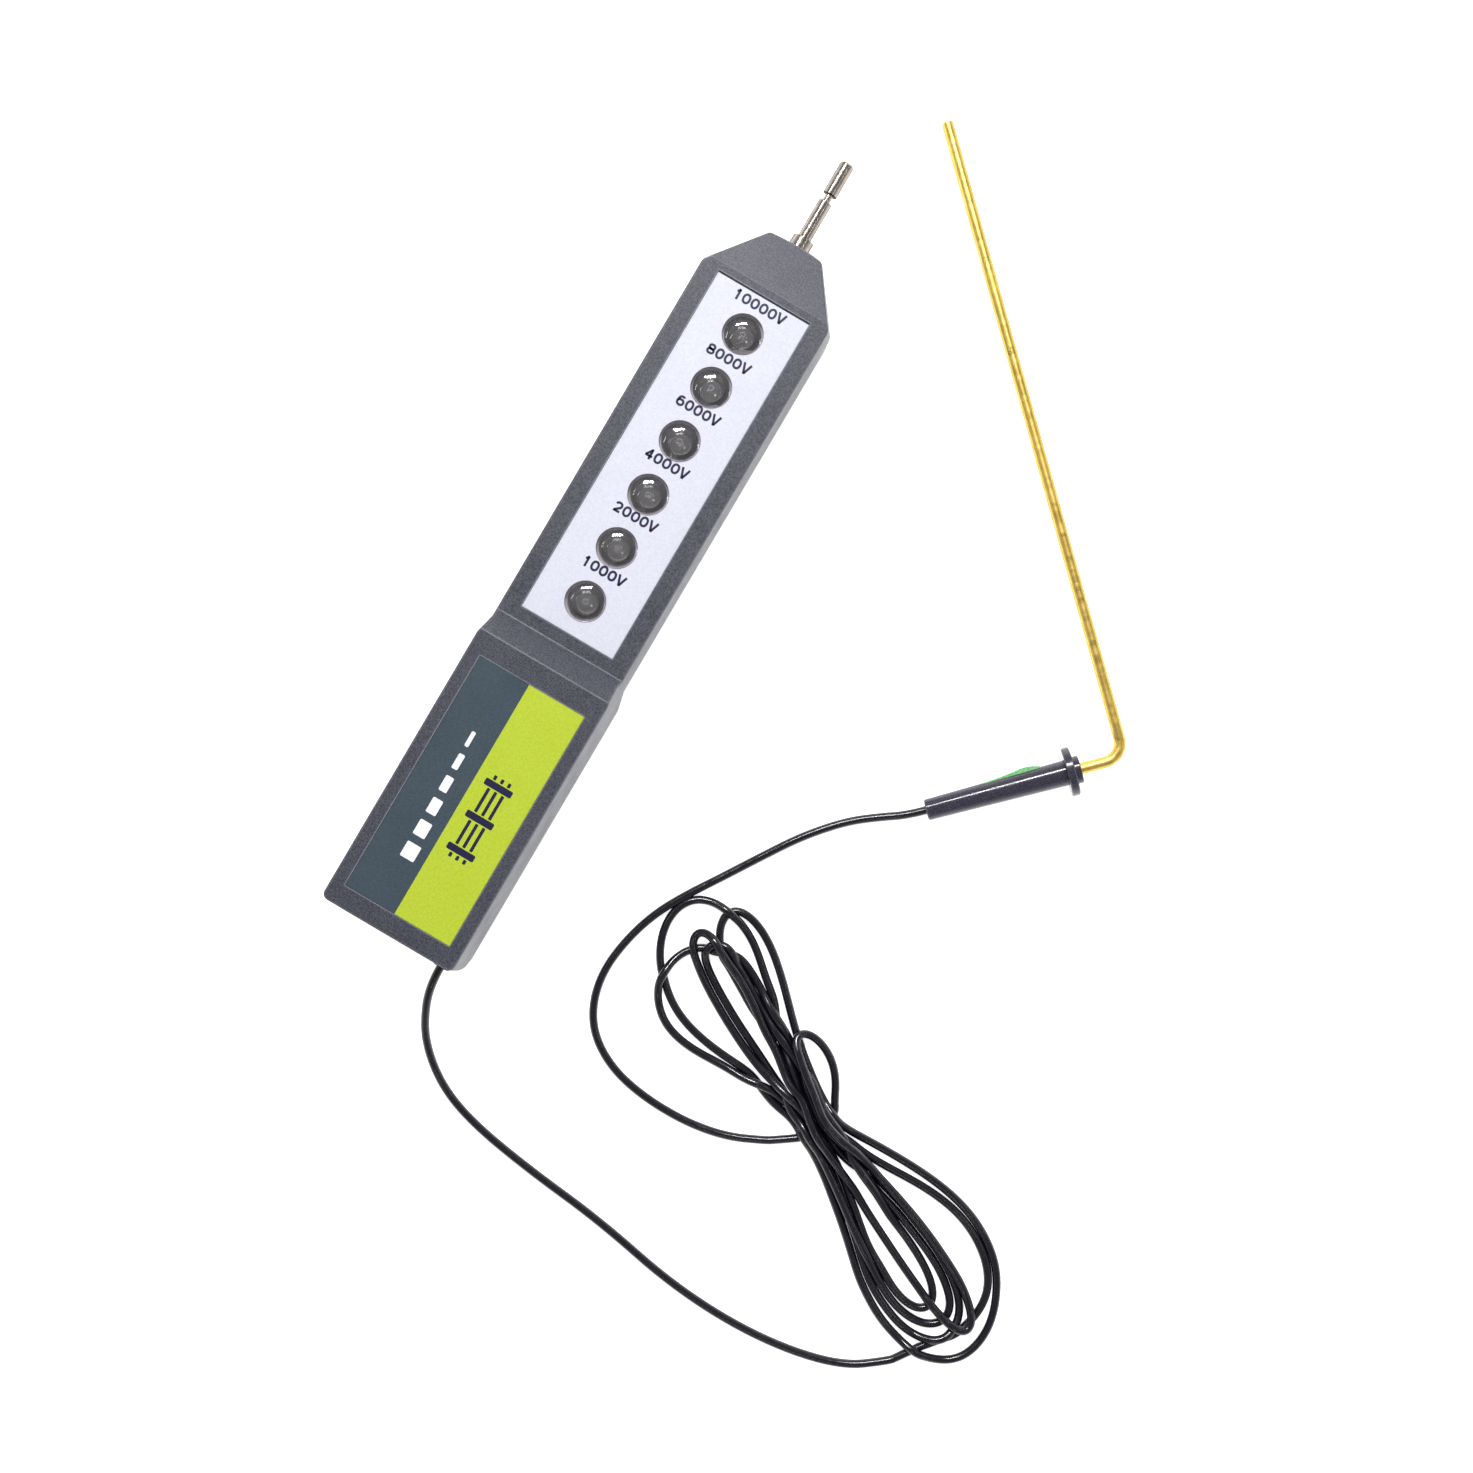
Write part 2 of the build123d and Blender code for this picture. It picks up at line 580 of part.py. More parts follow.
# ---- lead, inside the case ----------------------------------------------------------------
def lead_grommet():
    """Bush in the tail wall: flange outside, body through the wall."""
    length = WALL + 0.6
    bore, body = LEAD_R + CLOSE_FIT, GROMMET_BODY_R - CLOSE_FIT
    outline = [(bore, 0), (GROMMET_FLANGE_R, 0), (GROMMET_FLANGE_R, GROMMET_FLANGE),
               (body, GROMMET_FLANGE), (body, GROMMET_FLANGE + length),
               (bore, GROMMET_FLANGE + length)]
    return turned(outline, Pos(LEAD_X, GROMMET_FACE_Y, LEAD_Z) * Rot(-90, 0, 0))


def lead_inner_end():
    """The lead's jacket from the grommet's face to just past the clamp."""
    length = LEAD_INNER_END_Y - GROMMET_FACE_Y
    middle = Pos(LEAD_X, GROMMET_FACE_Y + length / 2, LEAD_Z)
    return middle * Rot(90, 0, 0) * Cylinder(LEAD_R, length)


def lead_core():
    """Bare conductor from the jacket's end to its pad on the board."""
    points = [(LEAD_X, LEAD_INNER_END_Y, LEAD_Z), (LEAD_X, LEAD_INNER_END_Y + 3.0, LEAD_Z),
              (*LEAD_PAD, 9.0), (*LEAD_PAD, BOARD_LOW_Z - WIRE_REACH)]
    return wire(points, 1.2, CORE_R)


def lead_clamp():
    """P-clip: flat tab under its screw, and an arch over the lead."""
    seat = LEAD_Z - LEAD_R
    half = CLAMP_LENGTH / 2
    low, high = CLAMP_Y - half, CLAMP_Y + half
    inner_r = LEAD_R + CLOSE_FIT
    arch_r = inner_r + CLAMP_THICK
    axis = Pos(LEAD_X, CLAMP_Y, LEAD_Z) * Rot(90, 0, 0)
    tab = block(CLAMP_SCREW_X - CLAMP_TAB_REACH, LEAD_X, low, high, seat, seat + CLAMP_THICK)
    arch = axis * Cylinder(arch_r, CLAMP_LENGTH)
    skirt = block(LEAD_X, LEAD_X + arch_r, low, high, seat, LEAD_Z)
    clip = (tab + arch + skirt) - axis * Cylinder(inner_r, 2 * CLAMP_LENGTH)
    clip &= block(0, HANDLE_WIDTH, low, high, seat, HANDLE_HEIGHT)
    return clip - post(CLAMP_SCREW_X, CLAMP_Y, seat - 1, seat + 3, BOARD_SCREW_R + 0.1)


def clamp_screw():
    seat = LEAD_Z - LEAD_R + CLAMP_THICK
    return screw(CLAMP_SCREW_X, CLAMP_Y, seat, -1, BOARD_SCREW_HEAD_R, BOARD_SCREW_HEAD_THICK,
                 BOARD_SCREW_R, CLAMP_SCREW_LENGTH)


# ---- lead, outside the case ---------------------------------------------------------------
def lead_tube(name, points):
    """Round lead along straight runs joined by the largest arcs that they allow."""
    radii = route_radii(points)
    path = FilletPolyline(*points, radius=radii)
    tube = sweep(Plane(origin=path @ 0, z_dir=path % 0) * Circle(LEAD_R), path=path)
    section = pi * LEAD_R ** 2 * path.length
    print(name, "length %.1f volume %.1f of %.1f" % (path.length, tube.volume, section))
    print(name, "radii", " ".join("%.1f" % radius for radius in radii))
    return tube


def teardrop(waist_r, end, end_r):
    """Hull of the waist's circle and a loop end's circle."""
    circles = Pos(*WAIST) * Circle(waist_r) + Pos(*end) * Circle(end_r)
    return make_hull(circles.edges())


def lead_hank():
    """Outer shape of the tied hank: two lobes of loops, a thicker waist and the tie's loop."""
    lobes = teardrop(WAIST_R, UPPER_LOOPS, UPPER_R) + teardrop(WAIST_R, LOWER_LOOPS, LOWER_R)
    lobes += Pos(*TIE_LOOP) * Circle(TIE_LOOP_R)
    hank = extrude(lobes, amount=HANK_HEIGHT)
    return hank + post(*WAIST, 0, WAIST_HEIGHT, WAIST_R)


# ---- ground probe -------------------------------------------------------------------------
def grip_point(along):
    """Point on the grip's axis, measured from its small end."""
    flat = along * cos(radians(GRIP_RISE))
    heading = radians(GRIP_HEADING)
    return (GRIP_START[0] + flat * cos(heading), GRIP_START[1] + flat * sin(heading),
            GRIP_START[2] + along * sin(radians(GRIP_RISE)))


def grip_plane(along):
    """Plane across the grip's axis. Its X points sideways, level with the table."""
    ahead = Vector(*grip_point(1)) - Vector(*grip_point(0))
    heading = radians(GRIP_HEADING)
    return Plane(origin=grip_point(along), x_dir=(-sin(heading), cos(heading), 0), z_dir=ahead)


def on_grip(profile, along):
    return turned(profile, grip_plane(along).location)


def probe_grip():
    """Tapered grip, bored from the guard's end for the rod, and at the small end for the lead."""
    lead_bore, rod_bore = LEAD_R + CLOSE_FIT, ROD_R + CLOSE_FIT
    outline = [(lead_bore, 0), (GRIP_SMALL_R - 0.3, 0), (GRIP_SMALL_R, 0.3),
               (GRIP_LARGE_R, GRIP_LENGTH), (rod_bore, GRIP_LENGTH), (rod_bore, LEAD_BORE_DEPTH),
               (lead_bore, LEAD_BORE_DEPTH)]
    return on_grip(outline, 0) - marker_base(CLOSE_FIT)


def probe_guard():
    """Finger guard and collar, one turned cap on the grip's large end."""
    bore = ROD_R + CLOSE_FIT
    end = GUARD_THICK + COLLAR_LENGTH
    outline = [(bore, 0), (GUARD_R - 0.25, 0), (GUARD_R, 0.25), (GUARD_R, GUARD_THICK - 0.25),
               (GUARD_R - 0.25, GUARD_THICK), (COLLAR_R, GUARD_THICK), (COLLAR_R, end - 0.2),
               (COLLAR_R - 0.2, end), (bore, end)]
    return on_grip(outline, GRIP_LENGTH + CLOSE_FIT)


def marker_base(clearance):
    """Flat-sided block for the marker's slot in the grip, larger than its foot by clearance."""
    half_along = MARKER_LENGTH / 2 + clearance
    half_across = MARKER_HALF_WIDTH + clearance
    depth = MARKER_FOOT + clearance
    outside = 2.0
    middle = Pos(marker_radius(0.5) + (outside - depth) / 2, 0, MARKER_START + MARKER_LENGTH / 2)
    return grip_plane(0).location * middle * Box(outside + depth, 2 * half_across, 2 * half_along)


def marker_radius(share):
    """Radius of the grip at a share of the marker's length."""
    along = MARKER_START + share * MARKER_LENGTH
    return GRIP_SMALL_R + (GRIP_LARGE_R - GRIP_SMALL_R) * along / GRIP_LENGTH


def probe_marker():
    """Green earth marker: a slim rib in a slot of the grip, highest near the guard."""
    foot = marker_radius(0.5) - MARKER_FOOT
    start, end = MARKER_START, MARKER_START + MARKER_LENGTH
    crest = start + MARKER_CREST * MARKER_LENGTH
    low, high, top = marker_radius(0), marker_radius(1), marker_radius(MARKER_CREST) + MARKER_PROUD
    sides = Polyline((low, 0, start), (foot, 0, start), (foot, 0, end), (high, 0, end))
    on_back = (low + 0.38, 0, start + 0.38 * MARKER_LENGTH)
    on_front = (top - 0.22, 0, crest + 0.2 * MARKER_LENGTH)
    back = ThreePointArc((low, 0, start), on_back, (top, 0, crest))
    front = ThreePointArc((top, 0, crest), on_front, (high, 0, end))
    profile = make_face(sides + back + front)
    rib = extrude(profile, amount=MARKER_HALF_WIDTH, both=True, dir=(0, 1, 0))
    return grip_plane(0).location * rib


def ground_rod():
    """Brass rod: hidden in the grip, out of the collar, round one bend, then straight."""
    points = [grip_point(20.0), grip_point(ROD_CORNER_AT), ROD_END]
    path = FilletPolyline(*points, radius=ROD_BEND_R)
    rod = sweep(Plane(origin=path @ 0, z_dir=path % 0) * Circle(ROD_R), path=path)
    tip = rod.faces().filter_by(GeomType.PLANE).sort_by(Axis.Y)[-1]
    return fillet(tip.edges(), ROD_R * 0.45)


def crimp_sleeve():
    """Sleeve in the grip that joins the lead's end to the rod."""
    inner = CORE_R + WIRE_GAP
    outline = [(inner, 0), (CRIMP_R, 0), (CRIMP_R, CRIMP_LENGTH), (inner, CRIMP_LENGTH)]
    return on_grip(outline, LEAD_BORE_DEPTH + 0.4)


def probe_lead_end():
    """The lead's last stretch inside the grip, up to the crimp."""
    return grip_plane(LEAD_BORE_DEPTH / 2).location * Cylinder(LEAD_R, LEAD_BORE_DEPTH)


# ---- build --------------------------------------------------------------------------------
NODES = {
    "front_cover": front_cover,
    "rear_cover": rear_cover,
    "scale_panel": scale_panel,
    "handle_badge": handle_badge,
    "neon_electrodes": neon_electrodes,
    "lamp_baffle": lamp_baffle,
    "circuit_board": circuit_board,
    "series_resistors": series_resistors,
    "tap_resistors": tap_resistors,
    "case_screws": case_screws,
    "board_screws": board_screws,
    "tip_probe": tip_probe,
    "tip_ferrule": tip_ferrule,
    "tip_nut": tip_nut,
    "tip_washer": tip_washer,
    "solder_tag": solder_tag,
    "tip_wire": tip_wire,
    "lead_grommet": lead_grommet,
    "lead_inner_end": lead_inner_end,
    "lead_core": lead_core,
    "lead_clamp": lead_clamp,
    "clamp_screw": clamp_screw,
    "lead_hank": lead_hank,
    "probe_grip": probe_grip,
    "probe_guard": probe_guard,
    "probe_marker": probe_marker,
    "ground_rod": ground_rod,
    "crimp_sleeve": crimp_sleeve,
    "probe_lead_end": probe_lead_end,
}


def build():
    os.makedirs("parts", exist_ok=True)
    made = {name: make() for name, make in NODES.items()}
    for index in range(LAMP_COUNT):
        made["lens_%d" % (index + 1)] = lens(index)
        made["neon_lamp_%d" % (index + 1)] = neon_lamp(index)
    tester_side = lead_tube("tester side", TESTER_SIDE_ROUTE)
    probe_side = lead_tube("probe side", PROBE_SIDE_ROUTE)
    made["lead_tester_side"] = tester_side - made["lead_hank"]
    made["lead_probe_side"] = probe_side - made["lead_hank"]
    for name, solid in made.items():
        export_step(solid, "parts/%s.step" % name)


build()
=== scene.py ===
import json
from math import cos, pi, radians, sin

import bmesh
import bpy
import numpy as np
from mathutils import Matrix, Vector


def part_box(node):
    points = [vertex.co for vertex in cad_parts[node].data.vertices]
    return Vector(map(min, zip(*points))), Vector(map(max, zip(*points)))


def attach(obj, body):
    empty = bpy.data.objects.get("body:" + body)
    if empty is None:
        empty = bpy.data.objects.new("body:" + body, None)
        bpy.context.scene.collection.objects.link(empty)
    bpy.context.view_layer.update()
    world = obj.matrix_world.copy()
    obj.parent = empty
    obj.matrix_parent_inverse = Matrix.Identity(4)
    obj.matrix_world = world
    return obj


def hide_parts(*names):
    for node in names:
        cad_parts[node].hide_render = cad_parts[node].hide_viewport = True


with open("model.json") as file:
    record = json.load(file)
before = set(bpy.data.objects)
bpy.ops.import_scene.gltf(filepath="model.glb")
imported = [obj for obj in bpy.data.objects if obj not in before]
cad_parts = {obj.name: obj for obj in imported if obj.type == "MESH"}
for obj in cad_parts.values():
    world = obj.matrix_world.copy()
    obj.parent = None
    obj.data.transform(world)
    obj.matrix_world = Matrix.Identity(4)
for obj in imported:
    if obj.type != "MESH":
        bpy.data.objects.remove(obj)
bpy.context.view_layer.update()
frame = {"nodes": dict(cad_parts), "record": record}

MM = 0.001
nodes = frame["nodes"]


# ---- camera -------------------------------------------------------------------------------
CAMERA_PLACE = (0.0500, -0.02655, 0.5136)    # it looks straight down
CAMERA_TURN = radians(30.5)
FOCAL_MM, SENSOR_MM = 48.0, 36.0


def make_camera():
    """The scene's camera, straight above the table."""
    data = bpy.data.cameras.new("camera")
    data.lens = FOCAL_MM
    data.sensor_width = SENSOR_MM
    camera = bpy.data.objects.new("camera", data)
    bpy.context.scene.collection.objects.link(camera)
    camera.location = CAMERA_PLACE
    camera.rotation_euler = (0.0, 0.0, CAMERA_TURN)
    bpy.context.scene.camera = camera


make_camera()


# ---- finishes -----------------------------------------------------------------------------
def screen(red, green, blue):
    """Linear colour of a 0 to 255 screen colour."""
    return tuple(((c / 255 + 0.055) / 1.055) ** 2.4 for c in (red, green, blue)) + (1.0,)


class Finish:
    """A procedural material: one shader, fed by textures laid out in the part's own frame."""

    def __init__(self, name, color, rough, **inputs):
        self.name = name
        self.material = bpy.data.materials.new(name)
        self.material.use_nodes = True
        self.tree = self.material.node_tree
        self.shader = self.tree.nodes["Principled BSDF"]
        self.place = self.node("ShaderNodeTexCoord").outputs["Object"]
        self.shader.inputs["Base Color"].default_value = color
        self.shader.inputs["Roughness"].default_value = rough
        for key, value in inputs.items():
            self.shader.inputs[key.replace("_", " ")].default_value = value

    def node(self, kind, inputs=(), **settings):
        """A new node. An input takes another node's output or a plain value."""
        made = self.tree.nodes.new(kind)
        for key, value in settings.items():
            setattr(made, key, value)
        for key, value in dict(inputs).items():
            if isinstance(value, bpy.types.NodeSocket):
                self.tree.links.new(value, made.inputs[key])
            else:
                made.inputs[key].default_value = value
        return made

    def feed(self, key, output):
        """Links an output to one of the shader's inputs."""
        self.tree.links.new(output, self.shader.inputs[key])

    def grain(self, size, detail=3.0, stretch=(1.0, 1.0, 1.0), turn=0.0):
        """Noise with grains of size millimetres, longer along an axis where stretch is large."""
        place = self.node("ShaderNodeMapping", {"Vector": self.place, "Rotation": (0.0, 0.0, turn)})
        scale = [1.0 / (size * MM * along) for along in stretch]
        spread = self.node("ShaderNodeMapping", {"Vector": place.outputs[0], "Scale": scale})
        return self.node("ShaderNodeTexNoise", {"Vector": spread.outputs[0], "Scale": 1.0,
                                                "Detail": detail}).outputs["Fac"]

    def steps(self, value, stops, mode="LINEAR"):
        """Colour for a value, through stops of (position, colour)."""
        ramp = self.node("ShaderNodeValToRGB", {"Fac": value})
        ramp.color_ramp.interpolation = mode
        while len(ramp.color_ramp.elements) < len(stops):
            ramp.color_ramp.elements.new(0.5)
        for element, (position, color) in zip(ramp.color_ramp.elements, stops):
            element.position = position
            element.color = color
        return ramp.outputs["Color"]

    def between(self, value, low, high):
        """Colour between two colours, by the middle part of a noise's range."""
        return self.steps(value, [(0.32, low), (0.68, high)])

    def mottle(self, value, low, high):
        """Base colour between two colours, by a noise."""
        self.feed("Base Color", self.between(value, low, high))

    def blend(self, share, a, b):
        """Colour between a and b by share."""
        return self.node("ShaderNodeMix", {0: share, 6: a, 7: b}, data_type="RGBA").outputs[2]

    def rough(self, value, low, high):
        """Roughness between low and high, by a noise."""
        spread = self.node("ShaderNodeMapRange", {"Value": value, "From Min": 0.3, "From Max": 0.7,
                                                  "To Min": low, "To Max": high})
        self.feed("Roughness", spread.outputs["Result"])

    def relief(self, value, depth):
        """Bump of depth millimetres."""
        bump = self.node("ShaderNodeBump", {"Height": value, "Distance": depth * MM})
        self.feed("Normal", bump.outputs["Normal"])

    def axis(self, name):
        """The place along one axis of the part's frame, in metres."""
        split = self.node("ShaderNodeSeparateXYZ", {"Vector": self.place})
        return split.outputs[name]

    def math(self, how, a, b=0.0):
        """Result of one arithmetic step."""
        return self.node("ShaderNodeMath", {0: a, 1: b}, operation=how).outputs[0]


def moulded(name, low, high, rough, grain, depth):
    """Moulded plastic with a spark-eroded texture: fine mottle, matt patches and fine relief."""
    finish = Finish(name, high, rough)
    finish.mottle(finish.grain(grain), low, high)
    finish.rough(finish.grain(grain * 22, 4.0), rough - 0.06, rough + 0.06)
    finish.relief(finish.grain(grain * 0.7, 2.0), depth)
    return finish


EDGE_HIGHLIGHT_REACH = 0.5                         # how far the painted edge highlight reaches, mm
EDGE_HIGHLIGHT_TONE = screen(160, 160, 170)
EDGE_FROM, EDGE_FULL = 1.0, 0.93         # cosine between the true and the rounded normal
EDGE_HIGHLIGHT_SHARE = 0.75                        # how much of the painted highlight a sharp edge takes


def case_plastic():
    """The case's grained plastic: a faint sheen at grazing angles, and a painted highlight along
    its edges.
    """
    finish = Finish("case_plastic", screen(70, 72, 82), 0.42, Coat_Weight=0.14, Coat_Roughness=0.3)
    color = finish.steps(finish.grain(0.36), [(0.30, screen(27, 29, 37)),
                                              (0.70, screen(84, 86, 98))])
    # Painted highlight: the base colour turns lighter where the rounded normal leans away from the
    # true normal, along edges and creases.
    rounded = finish.node("ShaderNodeBevel", {"Radius": EDGE_HIGHLIGHT_REACH * MM}, samples=4)
    flat = finish.node("ShaderNodeNewGeometry").outputs["Normal"]
    facing = finish.node("ShaderNodeVectorMath", {0: rounded.outputs[0], 1: flat},
                         operation="DOT_PRODUCT").outputs["Value"]
    edge_highlight = finish.node("ShaderNodeMapRange", {"Value": facing, "From Min": EDGE_FROM,
                                              "From Max": EDGE_FULL, "To Min": 0.0,
                                              "To Max": EDGE_HIGHLIGHT_SHARE})
    finish.feed("Base Color", finish.blend(edge_highlight.outputs["Result"], color, EDGE_HIGHLIGHT_TONE))
    finish.rough(finish.grain(8.0, 4.0), 0.36, 0.48)
    finish.relief(finish.grain(0.25, 2.0), 0.026)
    return finish


WHITE = (1.0, 1.0, 1.0, 1.0)


def metal(name, low, high, rough, stretch, turn=0.0, depth=0.003, size=0.1, rim=WHITE):
    """Worked metal with tool or draw marks along stretch. rim tints what it mirrors at a slant."""
    finish = Finish(name, high, rough, Metallic=1.0, Specular_Tint=rim)
    marks = finish.grain(size, 4.0, stretch, turn)
    finish.mottle(finish.grain(2.5, 4.0), low, high)
    finish.rough(finish.grain(1.2, 4.0, stretch, turn), rough * 0.75, rough * 1.35)
    finish.relief(marks, depth)
    return finish


def printed_film(name, low, high):
    """Satin film: fine mottle, wide patches of gloss and a faint orange peel."""
    finish = Finish(name, high, 0.34, Specular_IOR_Level=0.4)
    finish.mottle(finish.grain(0.5), low, high)
    finish.rough(finish.grain(9.0, 4.0), 0.30, 0.42)
    finish.relief(finish.grain(1.4, 2.0), 0.006)
    return finish


def ink(name, low, high):
    """Screen-printed ink with slightly uneven cover."""
    finish = Finish(name, low, 0.4)
    finish.mottle(finish.grain(0.25), low, high)
    finish.relief(finish.grain(0.2, 2.0), 0.002)
    return finish


BADGE_SPLIT = -0.85                      # the badge's two colours meet here, mm across the case
SLATE = (screen(56, 69, 78), screen(66, 79, 89))
LIME = (screen(172, 190, 44), screen(186, 204, 58))
NAVY = (screen(8, 6, 48), screen(20, 17, 66))
WHITE_INK = (screen(228, 230, 234), screen(246, 247, 250))


def badge_print():
    """Two-colour printed film: slate on the left, lime on the right."""
    finish = printed_film("badge_print", LIME[0], LIME[1])
    fine = finish.grain(0.5)
    slate = finish.between(fine, *SLATE)
    lime = finish.between(fine, *LIME)
    right = finish.math("GREATER_THAN", finish.axis("X"), BADGE_SPLIT * MM)
    finish.feed("Base Color", finish.blend(right, slate, lime))
    return finish


CLARITY = 0.965                          # the rest is the faint haze of moulded clear plastic


def clear(name, tint, ior, rough):
    """Clear plastic or glass with faint flow marks. Light passes it to reach what is under it."""
    finish = Finish(name, tint, rough, Transmission_Weight=CLARITY, IOR=ior)
    finish.rough(finish.grain(1.5, 3.0), rough * 0.5, rough * 2.0)
    finish.relief(finish.grain(2.2, 1.0), 0.004)
    path = finish.node("ShaderNodeLightPath")
    lets_through = finish.math("MAXIMUM", path.outputs["Is Shadow Ray"],
                               path.outputs["Is Diffuse Ray"])
    through = finish.node("ShaderNodeBsdfTransparent", {"Color": tint})
    mixed = finish.node("ShaderNodeMixShader", {0: lets_through, 1: finish.shader.outputs[0],
                                                2: through.outputs[0]})
    finish.tree.links.new(mixed.outputs[0], finish.tree.nodes["Material Output"].inputs["Surface"])
    return finish


WEAVE_PITCH = 0.7                        # of the board's glass cloth, mm
PLATED_FROM = 0.56                       # noise above this is a copper area


def board_laminate():
    """Green board: glass weave showing through the lacquer, and wide pale copper areas."""
    finish = Finish("board_laminate", screen(38, 96, 60), 0.35)
    waves = 2 * pi / (WEAVE_PITCH * MM)
    weave = [finish.math("SINE", finish.math("MULTIPLY", finish.axis(name), waves))
             for name in ("X", "Y")]
    cloth = finish.math("MULTIPLY", weave[0], weave[1])
    lacquer = finish.steps(cloth, [(0.0, screen(34, 88, 56)), (1.0, screen(46, 106, 66))])
    tracks = finish.grain(7.0, 0.0, (1.0, 4.0, 1.0))
    plated = finish.math("GREATER_THAN", tracks, PLATED_FROM)
    finish.feed("Base Color", finish.blend(plated, lacquer, screen(74, 134, 82)))
    finish.relief(cloth, 0.01)
    return finish


COAT, WIRE = screen(198, 176, 132), screen(170, 168, 162)
BROWN, BLACK, RED, GOLD = (screen(120, 72, 40), screen(22, 22, 24), screen(196, 60, 40),
                           screen(190, 150, 60))
# Where each colour starts, as a share of the resistor's length.
BANDS = [(0.0, WIRE), (0.12, COAT), (0.24, BROWN), (0.31, COAT), (0.40, BLACK), (0.47, COAT),
         (0.56, RED), (0.63, COAT), (0.78, GOLD), (0.85, COAT), (0.90, WIRE)]
# Middle and half length of the chain's and the taps' resistors, across the case, mm.
RESISTORS = ((-4.0, 4.0), (5.6, 2.4))
TAPS_FROM = 1.2                          # the taps' resistors lie past this, mm across the case


def resistor_coat():
    """Lacquered resistor bodies with colour bands, and tinned wires beyond the bodies' ends."""
    finish = Finish("resistor_coat", screen(196, 178, 140), 0.3)
    across = finish.axis("X")
    sides = []
    for middle, half in RESISTORS:
        along = finish.math("DIVIDE", finish.math("SUBTRACT", across, (middle - half) * MM),
                            2 * half * MM)
        sides.append(finish.steps(along, BANDS, "CONSTANT"))
    tap = finish.math("GREATER_THAN", across, TAPS_FROM * MM)
    finish.feed("Base Color", finish.blend(tap, sides[0], sides[1]))
    finish.rough(finish.grain(0.6), 0.22, 0.4)
    finish.relief(finish.grain(0.8, 2.0), 0.02)
    return finish


def jacket(name, low, high, rough, depth=0.012, **inputs):
    """Extruded plastic: smooth skin, faint ripple and small matt spots."""
    finish = Finish(name, low, rough, **inputs)
    finish.mottle(finish.grain(0.35), low, high)
    finish.rough(finish.grain(2.2, 4.0), rough - 0.07, rough + 0.08)
    finish.relief(finish.grain(1.1, 2.0), depth)
    return finish


ROD_TURN = radians(-135.7)               # turns the rod's long run onto +X
ALL_WAYS = (1.0, 1.0, 1.0)
FINISHES = {made.name: made for made in (
    case_plastic(),
    printed_film("scale_print", screen(206, 207, 219), screen(217, 218, 230)),
    badge_print(),
    clear("clear_lens", screen(246, 246, 250), 1.49, 0.02),
    clear("lamp_glass", screen(240, 236, 232), 1.47, 0.03),
    metal("electrode_metal", (0.52, 0.5, 0.47, 1.0), (0.68, 0.66, 0.62, 1.0), 0.3,
          (1.0, 1.0, 12.0)),
    moulded("baffle_plastic", screen(176, 168, 166), screen(206, 198, 194), 0.3, 0.3, 0.02),
    board_laminate(),
    resistor_coat(),
    metal("screw_steel", (0.46, 0.47, 0.49, 1.0), (0.66, 0.67, 0.68, 1.0), 0.3, ALL_WAYS,
          size=0.3),
    metal("pin_plate", (0.32, 0.29, 0.25, 1.0), (0.44, 0.40, 0.35, 1.0), 0.18, (30.0, 1.0, 30.0),
          depth=0.0003, size=0.3, rim=(0.10, 0.07, 0.12, 1.0)),
    metal("tag_tin", (0.55, 0.55, 0.54, 1.0), (0.72, 0.72, 0.7, 1.0), 0.38, ALL_WAYS, size=0.4),
    jacket("hookup_wire", screen(128, 24, 22), screen(160, 34, 30), 0.38),
    metal("copper", (0.74, 0.36, 0.22, 1.0), (0.88, 0.5, 0.34, 1.0), 0.28, (1.0, 12.0, 1.0),
          size=0.12),
    jacket("lead_jacket", screen(8, 8, 16), screen(20, 19, 30), 0.2, Specular_IOR_Level=0.6),
    jacket("grip_plastic", screen(34, 32, 44), screen(70, 66, 82), 0.17, 0.005),
    moulded("marker_green", screen(96, 176, 104), screen(150, 216, 152), 0.4, 0.5, 0.02),
    metal("rod_brass", (0.76, 0.52, 0.12, 1.0), (0.84, 0.62, 0.18, 1.0), 0.36,
          (1.0, 14.0, 14.0), ROD_TURN, 0.003, 0.22, rim=(0.16, 0.08, 0.03, 1.0)),
)}


# ---- the lead -----------------------------------------------------------------------------
LEAD_D = 0.0022
LEAD_R = LEAD_D / 2
ON_TABLE = 0.00112                       # height of the middle of a strand that lies on the table
WAIST = (0.1198, -0.1038)                # the tie, where every strand of the hank passes
UPPER_ALONG, UPPER_ACROSS = (-0.868, 0.496), (0.496, 0.868)
LOWER_ALONG, LOWER_ACROSS = (0.907, -0.421), (0.421, 0.907)

# Uncoiled stretch from the grommet to the hank, then on under the lower loops to the tie.
TESTER_SIDE = (
    (0.0148, -0.11525, 0.0130),
    (0.0148, -0.1192, 0.0130),
    (0.0162, -0.1262, 0.0106),
    (0.0206, -0.1354, 0.0058),
    (0.0298, -0.1438, 0.0019),
    (0.0419, -0.1484, ON_TABLE),
    (0.0610, -0.1514, ON_TABLE),
    (0.0836, -0.1536, ON_TABLE),
    (0.1092, -0.1586, ON_TABLE),
    (0.1346, -0.1590, ON_TABLE),
    (0.1564, -0.1546, ON_TABLE),
    (0.1670, -0.1466, ON_TABLE),
)
# Millimetres along and across the lower end.
UNDER_LOOPS = ((62.6, -7.1), (64.9, 0.1), (64.0, 7.6), (61.0, 12.9), (55.8, 17.0), (49.2, 18.6),
               (41.0, 18.4), (29.5, 15.0), (16.7, 8.0), (6.4, 3.6))
